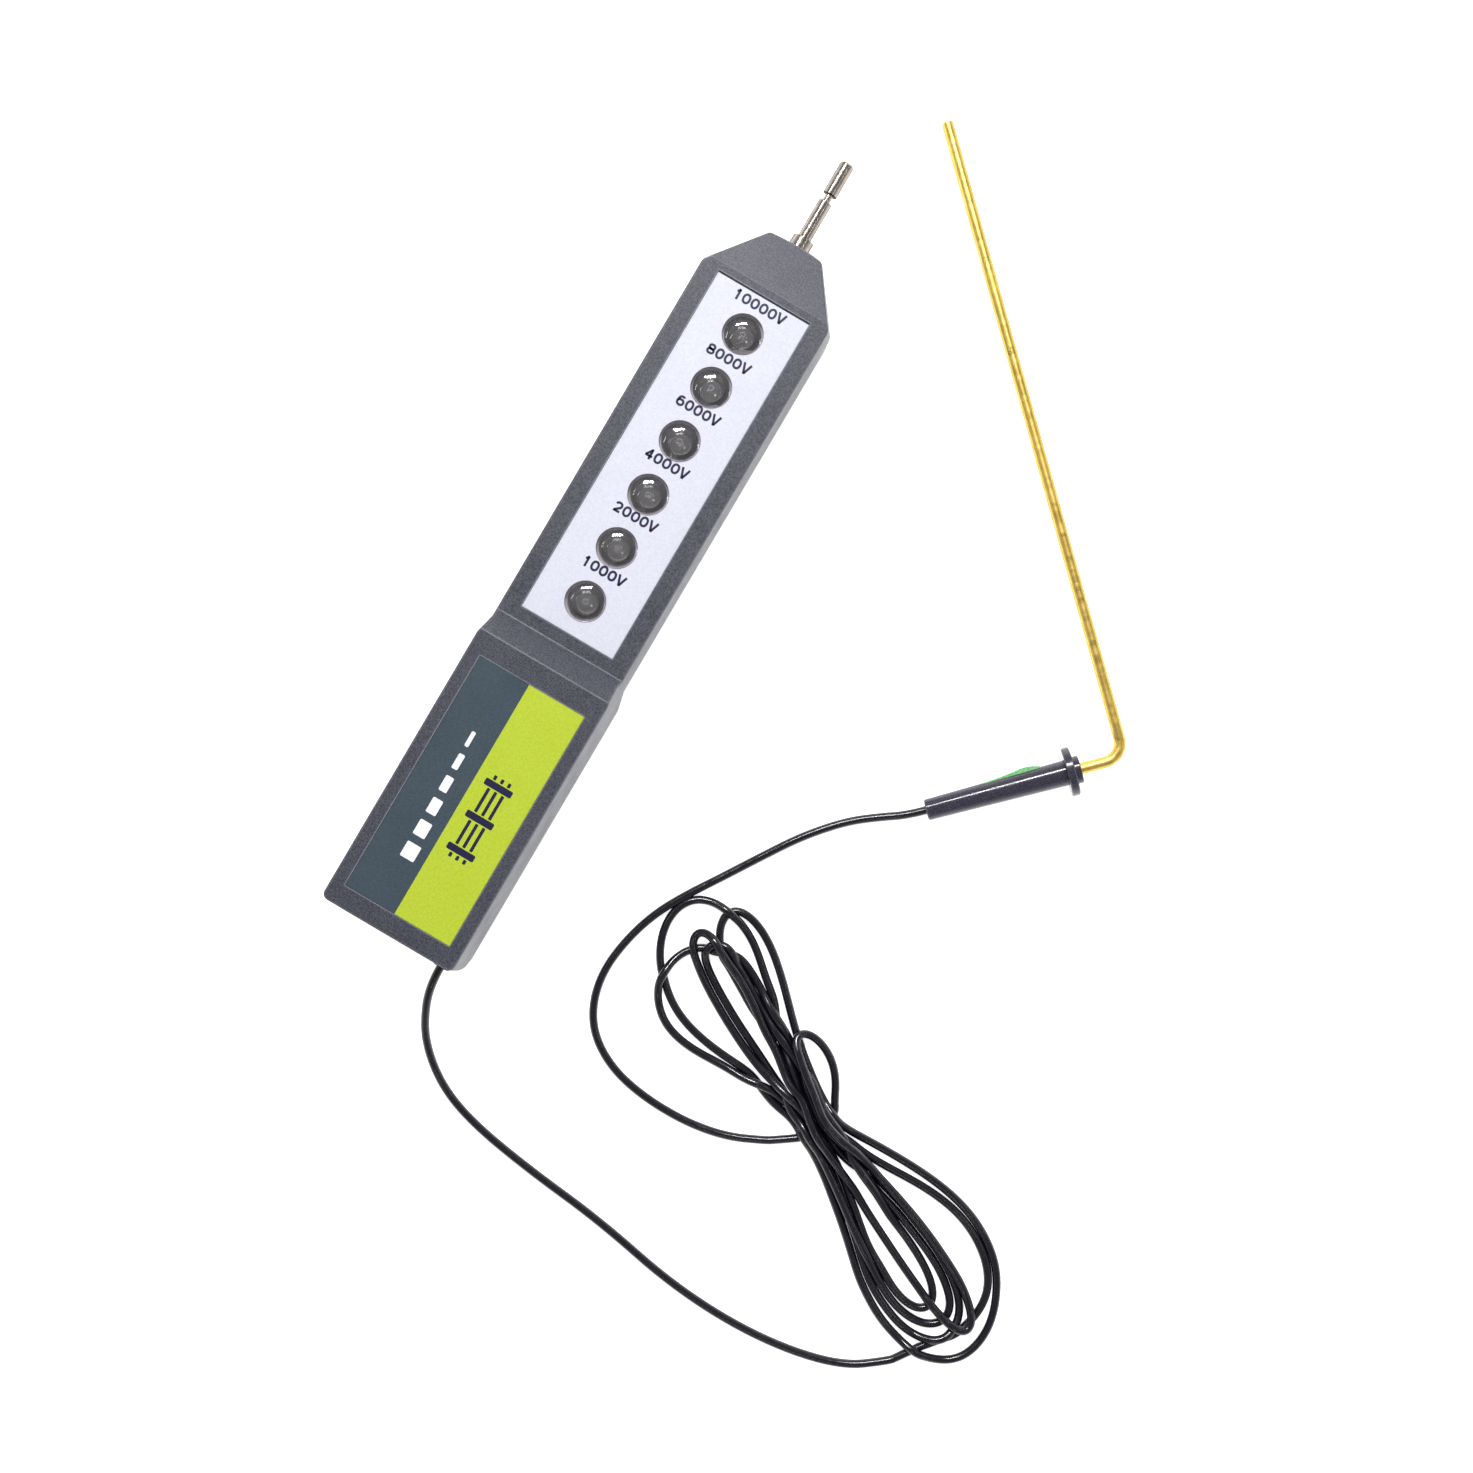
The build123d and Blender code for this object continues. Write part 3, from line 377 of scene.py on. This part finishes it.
# The last pass goes up beside the loops, turns back in a small bight and ends under the waist.
# Millimetres along and across the upper end.
TIE_BIGHT = ((0.0, 2.6), (6.0, 3.5), (12.0, 4.4), (17.6, 4.7), (22.0, 4.9), (24.9, 6.2),
             (25.2, 8.8), (22.6, 11.2), (18.4, 12.5), (13.8, 12.7), (9.4, 11.4), (5.2, 8.8),
             (2.6, 6.4))
UNDER_WAIST = (
    (0.1216, -0.1006),
    (0.1206, -0.1040),
    (0.1190, -0.1076),
)
PROBE_SIDE = (
    (0.1102, -0.1134, ON_TABLE),
    (0.1006, -0.1179, ON_TABLE),
    (0.0890, -0.1200, ON_TABLE),
    (0.0764, -0.1198, ON_TABLE),
    (0.0660, -0.1176, ON_TABLE),
    (0.0576, -0.1126, ON_TABLE),
    (0.0528, -0.1054, ON_TABLE),
    (0.0510, -0.0964, ON_TABLE),
    (0.0522, -0.0866, ON_TABLE),
    (0.0550, -0.0774, ON_TABLE),
    (0.0594, -0.0692, ON_TABLE),
    (0.0654, -0.0600, ON_TABLE),
    (0.0714, -0.0504, ON_TABLE),
    (0.0780, -0.0402, ON_TABLE),
    (0.0860, -0.0310, ON_TABLE),
    (0.0932, -0.0254, 0.0016),
    (0.09862, -0.0216815, 0.0022947),
    (0.1022, -0.0180, 0.0028),
)

# Each loop: its tip, how pointed that is, and a strand in and a strand out. A strand is its slot
# in the waist, its widest point and how late it leaves the bundle. Places are along and across
# one end of the hank, in millimetres from the waist.
UPPER_LOOPS = (
    ((61.4, 9.0), 1.0, (2.6, (52.5, 1.4), 1.5), (4.8, (49.0, 13.6), 2.3)),
    ((69.2, -0.6), 1.0, (-3.6, (45.5, -17.4), 1.9), (1.0, (51.5, 10.4), 2.7)),
    ((57.8, -8.2), 1.0, (-1.3, (43.0, -21.8), 1.9), (2.2, (45.5, 5.2), 1.3)),
    ((56.6, -1.0), 0.8, (-2.4, (47.0, -4.8), 1.2), (3.8, (46.0, 3.2), 1.2)),
    ((61.8, -1.6), 0.6, (-0.1, (38.0, -6.6), 1.1), (-0.9, (46.0, 2.2), 1.2)),
)
LOWER_LOOPS = (
    ((72.0, -1.8), 1.0, (4.8, (44.0, 20.6), 1.2), (-3.6, (50.0, -15.2), 1.8)),
    ((65.4, -2.0), 1.0, (1.0, (46.0, 8.0), 1.3), (-1.3, (51.0, -12.3), 1.6)),
    ((61.6, -1.2), 1.0, (2.2, (46.0, 6.0), 1.3), (-2.4, (47.0, -10.2), 1.6)),
    ((56.6, -3.0), 1.0, (3.8, (44.0, 3.0), 1.3), (-0.1, (44.5, -8.0), 1.5)),
    ((67.4, 1.8), 0.7, (-0.9, (46.0, -2.0), 1.3), (2.6, (44.0, 8.4), 1.1)),
)
WAIST_STEPS = (0.14, 0.32, 0.54, 0.78)   # shares of the way from the waist to a widest point
TIP_STEPS = (32.0, 62.0)                 # degrees round a tip, from the widest point


def hank_point(upper, along, across):
    """Place on the table of a point given along and across one end of the hank."""
    ahead, side = (UPPER_ALONG, UPPER_ACROSS) if upper else (LOWER_ALONG, LOWER_ACROSS)
    return (WAIST[0] + MM * (along * ahead[0] + across * side[0]),
            WAIST[1] + MM * (along * ahead[1] + across * side[1]))


def strand(upper, slot, bulge, late):
    """From the waist out to a loop's widest point."""
    points = []
    for share in WAIST_STEPS:
        across = slot + (bulge[1] - slot) * sin(pi / 2 * share ** late)
        points.append(hank_point(upper, share * bulge[0], across))
    return points + [hank_point(upper, *bulge)]


def round_tip(upper, bulge, tip, pointed):
    """Quarter of an ellipse, or a sharper curve, from a loop's widest point to its tip."""
    points = []
    for angle in TIP_STEPS:
        turn = radians(angle)
        along = bulge[0] + (tip[0] - bulge[0]) * sin(turn)
        across = tip[1] + (bulge[1] - tip[1]) * cos(turn) ** pointed
        points.append(hank_point(upper, along, across))
    return points


def loop(upper, tip, pointed, strand_in, strand_out):
    """One loop of the hank as two stretches of points, out to its tip and back."""
    out = [hank_point(upper, 0.0, strand_in[0])] + strand(upper, *strand_in)
    out += round_tip(upper, strand_in[1], tip, pointed) + [hank_point(upper, *tip)]
    back = round_tip(upper, strand_out[1], tip, pointed)[::-1]
    return [out, back + strand(upper, *strand_out)[::-1]]


def hank_route():
    """The hank in plan, each pass of the lead a little higher than the one before it."""
    stretches = [[hank_point(False, *point) for point in UNDER_LOOPS]]
    for upper_loop, lower_loop in zip(UPPER_LOOPS, LOWER_LOOPS):
        stretches += loop(True, *upper_loop) + loop(False, *lower_loop)
    stretches.append([hank_point(True, *point) for point in TIE_BIGHT])
    route = []
    for order, stretch in enumerate(stretches):
        height = LEAD_R + (LIFT + LAYER * order if order else 0.0)
        route += [(x, y, height) for x, y in stretch]
    return route + [(x, y, LEAD_R) for x, y in UNDER_WAIST]


def spline_points(points, spacing):
    """Points at equal spacing along the smooth curve that those control points give."""
    line = lead_curve("line", points, 0.0)
    graph = bpy.context.evaluated_depsgraph_get()
    mesh = bpy.data.meshes.new_from_object(line.evaluated_get(graph))
    places = np.array([vertex.co[:] for vertex in mesh.vertices])
    bpy.data.meshes.remove(mesh)
    bpy.data.objects.remove(line)
    run = np.concatenate([[0.0], np.cumsum(np.linalg.norm(np.diff(places, axis=0), axis=1))])
    stations = np.linspace(0.0, run[-1], int(run[-1] / spacing) + 1)
    return np.stack([np.interp(stations, run, places[:, k]) for k in range(3)], axis=1)


SPACING = 0.0011                         # between the points that settle
LIFT = 0.0030                            # the loops start this high over the stretch under them
LAYER = 0.0003                           # each stretch starts this much above the one before it
SETTLE_STEPS, CALM_STEPS = 320, 60       # the last of the steps are calmer
CALM = 0.3                               # pull and sinking in the calm steps, times the usual
SINK = 0.00003                           # downwards, for each step
PULL = 0.07                              # towards the place seen in plan, for each step
SMOOTH = 0.2                             # towards the middle of the two points beside, each step
EVEN = 0.25                              # how fast the spacing is evened out
NEIGHBOURS = 5                           # points this near along the lead may lie close
CLEARANCE = 1.02                         # kept between strands' middles, times the thickness
PARTING, CALM_PARTING = 0.6, 0.9         # share of an overlap undone in each step
LAST_ROUNDS = 50                         # of parting, easing and a little smoothing, no pull
LAST_PARTING, LAST_SMOOTH = 0.8, 0.04
BOUND_UNTIL = -45                        # the points after this are the tie's own small bight
WAIST_HALF = 4.4                         # the tie keeps the strands this close to the middle, mm
WAIST_REACH, WAIST_OPEN = 8.0, 0.4       # how far along it does so, and how the hold widens
HOLD = 0.5                               # how fast the tie draws them in
# Points each side where a fold's sharpness is judged, and how far it may stand out between them.
FOLD_LIMITS = ((3, 0.0016), (2, 0.0009), (1, 0.00024))
EASE = 0.25                              # how fast a fold that is too sharp opens


def settle(points):
    """Lets the hank's strands slide off one another and sink, as a limp lead does."""
    seen = points[:, :2].copy()
    order = np.arange(len(points))
    may_part = np.abs(order[:, None] - order[None, :]) > NEIGHBOURS
    for step in range(SETTLE_STEPS):
        calm = step > SETTLE_STEPS - CALM_STEPS
        pace = CALM if calm else 1.0
        points[:, :2] += pace * PULL * (seen - points[:, :2])
        points[:, 2] -= SINK * pace
        middle = (points[2:] + points[:-2]) / 2
        points[1:-1] += SMOOTH * (middle - points[1:-1])
        ease_folds(points)
        gaps = points[1:] - points[:-1]
        length = np.linalg.norm(gaps, axis=1)[:, None]
        fix = EVEN * gaps * (1 - SPACING / length)
        points[:-1] += fix
        points[1:] -= fix
        squeeze(points)
        push_apart(points, may_part, CALM_PARTING if calm else PARTING)
        points[:, 2] = np.maximum(points[:, 2], LEAD_R)
    for _ in range(LAST_ROUNDS):
        push_apart(points, may_part, LAST_PARTING)
        ease_folds(points)
        points[1:-1] += LAST_SMOOTH * (points[2:] + points[:-2] - 2 * points[1:-1])
        points[:, 2] = np.maximum(points[:, 2], LEAD_R)
    return points


def ease_folds(points):
    """Opens every fold that is sharper than the lead bends."""
    for span, limit in FOLD_LIMITS:
        inner = points[span:-span]
        bow = (points[2 * span:] + points[:-2 * span]) / 2 - inner
        depth = np.linalg.norm(bow, axis=1)[:, None] + 1e-9
        push = EASE * bow * np.maximum(depth - limit, 0.0) / depth
        inner += push
        points[2 * span:] -= push
        points[:-2 * span] -= push


def squeeze(points):
    """The tie's hold on the strands near the waist."""
    ahead, side = np.array(LOWER_ALONG), np.array(LOWER_ACROSS)
    offset = (points[:BOUND_UNTIL, :2] - WAIST) / MM
    along, across = offset @ ahead, offset @ side
    half = WAIST_HALF + WAIST_OPEN * np.abs(along)
    excess = across - np.clip(across, -half, half)
    excess[np.abs(along) > WAIST_REACH] = 0.0
    points[:BOUND_UNTIL, :2] -= HOLD * MM * excess[:, None] * side


def push_apart(points, may_part, share):
    """Moves points that are nearer than the lead's thickness away from each other."""
    clear = CLEARANCE * LEAD_D
    flat = points.astype(np.float32)
    square = (flat ** 2).sum(axis=1)
    distance = square[:, None] + square[None, :] - 2 * flat @ flat.T
    first, second = np.nonzero((distance < clear ** 2) & may_part)
    offset = points[first] - points[second]
    length = np.maximum(np.linalg.norm(offset, axis=1), 1e-6)
    depth = np.maximum(clear - length, 0.0)
    move = np.zeros_like(points)
    hits = np.zeros(len(points))
    np.add.at(move, first, offset * (depth / length)[:, None] * share / 2)
    np.add.at(hits, first, depth > 0)
    points += move / np.maximum(hits, 1.0)[:, None] ** 0.5


def lead_curve(name, points, radius):
    """Round lead along one smooth curve with the route's points as its control points."""
    data = bpy.data.curves.new(name, "CURVE")
    data.dimensions = "3D"
    data.bevel_depth = 1.0 if radius else 0.0     # times each point's radius
    data.bevel_resolution = 5
    data.resolution_u = 8
    data.use_fill_caps = True
    spline = data.splines.new("NURBS")
    spline.points.add(len(points) - 1)
    for control, point in zip(spline.points, points):
        control.co = (*point, 1.0)
        control.radius = radius
    spline.order_u = 3
    spline.use_endpoint_u = True
    piece = bpy.data.objects.new(name, data)
    bpy.context.scene.collection.objects.link(piece)
    return piece


def make_lead():
    """The ground lead as one cord, from the grommet through the hank to the probe's grip."""
    joined = [TESTER_SIDE[-1]] + hank_route() + [PROBE_SIDE[0]]
    hank = settle(spline_points(joined, SPACING))[2:-2:2]
    route = list(TESTER_SIDE) + [tuple(point) for point in hank] + list(PROBE_SIDE)
    lead = lead_curve("ground_lead", route, LEAD_R)
    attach(lead, "root")
    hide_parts("lead_tester_side", "lead_hank", "lead_probe_side")
    lead.data.materials.append(FINISHES["lead_jacket"].material)


make_lead()


def finish_nodes():
    """Every CAD node gets the finish of its material slot."""
    for subpart in frame["record"]["subparts"]:
        for slot in nodes[subpart["node"]].material_slots:
            slot.material = FINISHES[subpart["material_slot"]].material


# ---- printing -----------------------------------------------------------------------------
# Places and sizes in this section are in millimetres.
PRINT_THICK = 0.015
LEGENDS = (("10000V", 69.55), ("8000V", 54.25), ("6000V", 39.15), ("4000V", 23.65),
           ("2000V", 8.15), ("1000V", -7.65))
LEGEND_X = 0.1
LEGEND_HEIGHT = 2.85
PEN = 0.62                               # width of a legend's strokes
DIGIT_HALF = 0.83                        # half a digit's width, along the middle of its stroke
LETTER_PITCH = 2.5
ARC_STEPS = 28
SHOULDER = 0.9                           # under 1, an oval is a little square


def arc(x, y, half_width, half_height, start, end, steps=ARC_STEPS):
    """Part of an oval with slightly square shoulders, angles in degrees."""
    points = []
    for step in range(steps + 1):
        turn = radians(start + (end - start) * step / steps)
        c, s = cos(turn), sin(turn)
        points.append((x + half_width * abs(c) ** SHOULDER * (1 if c > 0 else -1),
                       y + half_height * abs(s) ** SHOULDER * (1 if s > 0 else -1)))
    return points


TALL = (LEGEND_HEIGHT - PEN) / 2         # half height of a stroke's middle line
GLYPHS = {                               # strokes as (points, closed), from the glyph's middle
    "0": [(arc(0, 0, DIGIT_HALF, TALL, 0, 360)[:-1], True)],
    "1": [([(-0.55, 0.62), (-0.12, 0.86), (0.14, TALL + PEN / 2 - 0.02)], False),
          ([(0.14, TALL + PEN / 2), (0.14, -TALL - PEN / 2)], False)],
    "2": [(arc(0, 0.44, 0.76, TALL - 0.44, 170, -42, 16) + [(-0.72, -TALL)], False),
          ([(-0.92, -TALL), (0.88, -TALL)], False)],
    "4": [([(0.36, -TALL - PEN / 2), (0.36, TALL + PEN / 2)], False),
          ([(0.36, TALL), (-0.86, -0.5)], False), ([(-0.98, -0.5), (0.98, -0.5)], False)],
    "6": [(arc(0, -0.42, DIGIT_HALF - 0.03, TALL - 0.42, 0, 360)[:-1], True),
          (arc(0.06, -0.1, 0.84, TALL + 0.1, 52, 190, 16), False)],
    "8": [(arc(0, 0.54, 0.7, TALL - 0.54, 0, 360)[:-1], True),
          (arc(0, -0.52, DIGIT_HALF - 0.02, TALL - 0.52, 0, 360)[:-1], True)],
    "V": [([(-0.98, TALL + PEN / 2), (0.0, -TALL - PEN / 2 + 0.06)], False),
          ([(0.98, TALL + PEN / 2), (0.0, -TALL - PEN / 2 + 0.06)], False)],
}


def stroke(bm, points, closed, x, y, low_z):
    """One pen stroke as a thin raised ribbon, millimetres."""
    last = len(points) - 1
    rims = []
    for here, point in enumerate(points):
        before = points[here - 1] if here > 0 or closed else point
        after = points[(here + 1) % len(points)] if here < last or closed else point
        way = (Vector(after) - Vector(before)).normalized() * PEN / 2
        rims.append([((x + point[0] - side * way.y) * MM, (y + point[1] + side * way.x) * MM)
                     for side in (1, -1)])
    quads = [[bm.verts.new((*rim[side], low_z + lift * MM)) for side, lift in
              ((0, 0.0), (1, 0.0), (1, PRINT_THICK), (0, PRINT_THICK))] for rim in rims]
    pairs = list(zip(quads, quads[1:])) + ([(quads[-1], quads[0])] if closed else [])
    for first, second in pairs:
        for corner in range(4):
            after = (corner + 1) % 4
            bm.faces.new((first[corner], first[after], second[after], second[corner]))
    if not closed:
        bm.faces.new(quads[0])
        bm.faces.new(quads[-1][::-1])


def scale_legends():
    """The six voltages beside the lenses, as one printed piece on the scale panel."""
    low_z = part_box("scale_panel")[1][2]
    bm = bmesh.new()
    for text, y in LEGENDS:
        for place, letter in enumerate(text):
            x = LEGEND_X + (place - (len(text) - 1) / 2) * LETTER_PITCH
            for points, closed in GLYPHS[letter]:
                stroke(bm, points, closed, x, y, low_z)
    finish_print(bm, "scale_legends", ink("legend_ink", *NAVY).material)


def finish_print(bm, name, material):
    """Makes a printed piece of the mesh and lets it ride on the tester."""
    bmesh.ops.recalc_face_normals(bm, faces=bm.faces)
    mesh = bpy.data.meshes.new(name)
    bm.to_mesh(mesh)
    bm.free()
    mesh.materials.append(material)
    piece = bpy.data.objects.new(name, mesh)
    bpy.context.scene.collection.objects.link(piece)
    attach(piece, "root")


CORNER_STEPS = 5                         # faces round a quarter of a circle


def rounded_plate(bm, x_low, x_high, y_low, y_high, corner, low_z):
    """Thin printed shape with round corners, millimetres."""
    corners = ((x_high - corner, y_high - corner), (x_low + corner, y_high - corner),
               (x_low + corner, y_low + corner), (x_high - corner, y_low + corner))
    rim = []
    for quarter, (x, y) in enumerate(corners):
        for step in range(CORNER_STEPS + 1):
            turn = pi / 2 * (quarter + step / CORNER_STEPS)
            rim.append((x + corner * cos(turn), y + corner * sin(turn)))
    rings = [[bm.verts.new((x * MM, y * MM, low_z + lift * MM)) for x, y in rim]
             for lift in (0.0, PRINT_THICK)]
    bm.faces.new(rings[1])
    bm.faces.new(rings[0][::-1])
    for here in range(len(rim)):
        after = (here + 1) % len(rim)
        bm.faces.new((rings[0][here], rings[0][after], rings[1][after], rings[1][here]))


BAR_COUNT = 6                            # one rising bar for each lamp
BARS_HIGH_Y = -58.6
BAR_PITCH = 6.3
BAR_WIDTH = 4.2
BARS_FOOT_X = -7.2
BAR_RISE = (1.1, 3.9)                    # first and last bar's length
BAR_CORNER, POST_CORNER, WIRE_CORNER = 0.35, 0.4, 0.2
FENCE_POSTS_Y = (-86.0, -76.8, -67.6)
FENCE_FOOT_X, FENCE_TOP_X = 1.7, 9.4
FENCE_WIRES_X = (3.6, 5.6, 7.6)
FENCE_ENDS_Y = (-88.4, -65.2)
POST_HALF, WIRE_HALF = 0.9, 0.42
WIRE_GAP = 0.3                           # between a wire's end and the post beside it


def badge_signs():
    """Plain signs on the handle's panel: rising bars on slate, a fence on lime."""
    low_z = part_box("handle_badge")[1][2]
    bm = bmesh.new()
    for index in range(BAR_COUNT):
        high_y = BARS_HIGH_Y - index * BAR_PITCH
        rise = BAR_RISE[0] + (BAR_RISE[1] - BAR_RISE[0]) * index / (BAR_COUNT - 1)
        rounded_plate(bm, BARS_FOOT_X, BARS_FOOT_X + rise, high_y - BAR_WIDTH, high_y, BAR_CORNER,
                      low_z)
    finish_print(bm, "badge_bars", ink("white_ink", *WHITE_INK).material)
    bm = bmesh.new()
    for y in FENCE_POSTS_Y:
        rounded_plate(bm, FENCE_FOOT_X, FENCE_TOP_X, y - POST_HALF, y + POST_HALF, POST_CORNER,
                      low_z)
    aside = POST_HALF + WIRE_GAP
    runs = [FENCE_ENDS_Y[0]] + [y + side * aside for y in FENCE_POSTS_Y for side in (-1, 1)]
    runs.append(FENCE_ENDS_Y[1])
    for x in FENCE_WIRES_X:
        for low_y, high_y in zip(runs[::2], runs[1::2]):
            rounded_plate(bm, x - WIRE_HALF, x + WIRE_HALF, low_y, high_y, WIRE_CORNER, low_z)
    finish_print(bm, "badge_fence", ink("slate_ink", *NAVY).material)


finish_nodes()
scale_legends()
badge_signs()


# ---- floor and light ----------------------------------------------------------------------
FLOOR_HALF = 3.0
FLOOR_GLOW = 0.85                        # the floor is a light table
AIM = (0.05, -0.02, 0.0)                 # every lamp shines at the object's middle
STRIP_SIZE, STRIP_POWER = (0.22, 0.03), 0.2
# Name, place, size and power. The strips are there for what smooth parts mirror.
LAMPS = (
    ("key", (-0.452, 0.688, 1.2), (0.6, 0.15), 21.0),
    ("left_strip", (-0.50, -0.10, 0.70), STRIP_SIZE, STRIP_POWER),
    ("right_strip", (0.55, 0.25, 0.70), STRIP_SIZE, STRIP_POWER),
    ("near_strip", (0.28, -0.55, 0.70), STRIP_SIZE, STRIP_POWER),
)
SKY = ((0.2, 1.0), (0.6, 0.27))          # height in the surround, and how bright it is there
SKY_BLUE = 1.02                          # blue of the surround, times its red and green


def make_floor():
    """A pale glowing table top."""
    mesh = bpy.data.meshes.new("floor")
    bm = bmesh.new()
    bmesh.ops.create_grid(bm, x_segments=1, y_segments=1, size=FLOOR_HALF)
    bm.to_mesh(mesh)
    bm.free()
    floor = bpy.data.objects.new("floor", mesh)
    bpy.context.scene.collection.objects.link(floor)
    finish = Finish("floor", (0.94, 0.94, 0.94, 1.0), 0.85, Specular_IOR_Level=0.1,
                    Emission_Color=WHITE, Emission_Strength=FLOOR_GLOW)
    finish.mottle(finish.grain(3.0), (0.93, 0.93, 0.93, 1.0), (0.95, 0.95, 0.95, 1.0))
    mesh.materials.append(finish.material)


def area_light(name, place, size, power):
    """A rectangular lamp of size metres and power watts."""
    data = bpy.data.lights.new(name, "AREA")
    data.shape = "RECTANGLE"
    data.size, data.size_y = size
    data.energy = power
    light = bpy.data.objects.new(name, data)
    bpy.context.scene.collection.objects.link(light)
    light.location = place
    toward = Vector(AIM) - Vector(place)
    light.rotation_euler = toward.to_track_quat("-Z", "Y").to_euler()


def make_world():
    """Soft studio surround: pale round the horizon, dimmer overhead."""
    world = bpy.data.worlds.new("studio")
    bpy.context.scene.world = world
    world.use_nodes = True
    tree = world.node_tree
    place = tree.nodes.new("ShaderNodeTexCoord").outputs["Generated"]
    split = tree.nodes.new("ShaderNodeSeparateXYZ")
    tree.links.new(place, split.inputs[0])
    ramp = tree.nodes.new("ShaderNodeValToRGB")
    tree.links.new(split.outputs["Z"], ramp.inputs["Fac"])
    for element, (position, level) in zip(ramp.color_ramp.elements, SKY):
        element.position = position
        element.color = (level, level, level * SKY_BLUE, 1.0)
    background = tree.nodes["Background"]
    tree.links.new(ramp.outputs["Color"], background.inputs["Color"])
    background.inputs["Strength"].default_value = 1.0


bpy.context.scene.view_settings.view_transform = "Standard"
make_floor()
for lamp in LAMPS:
    area_light(*lamp)
make_world()
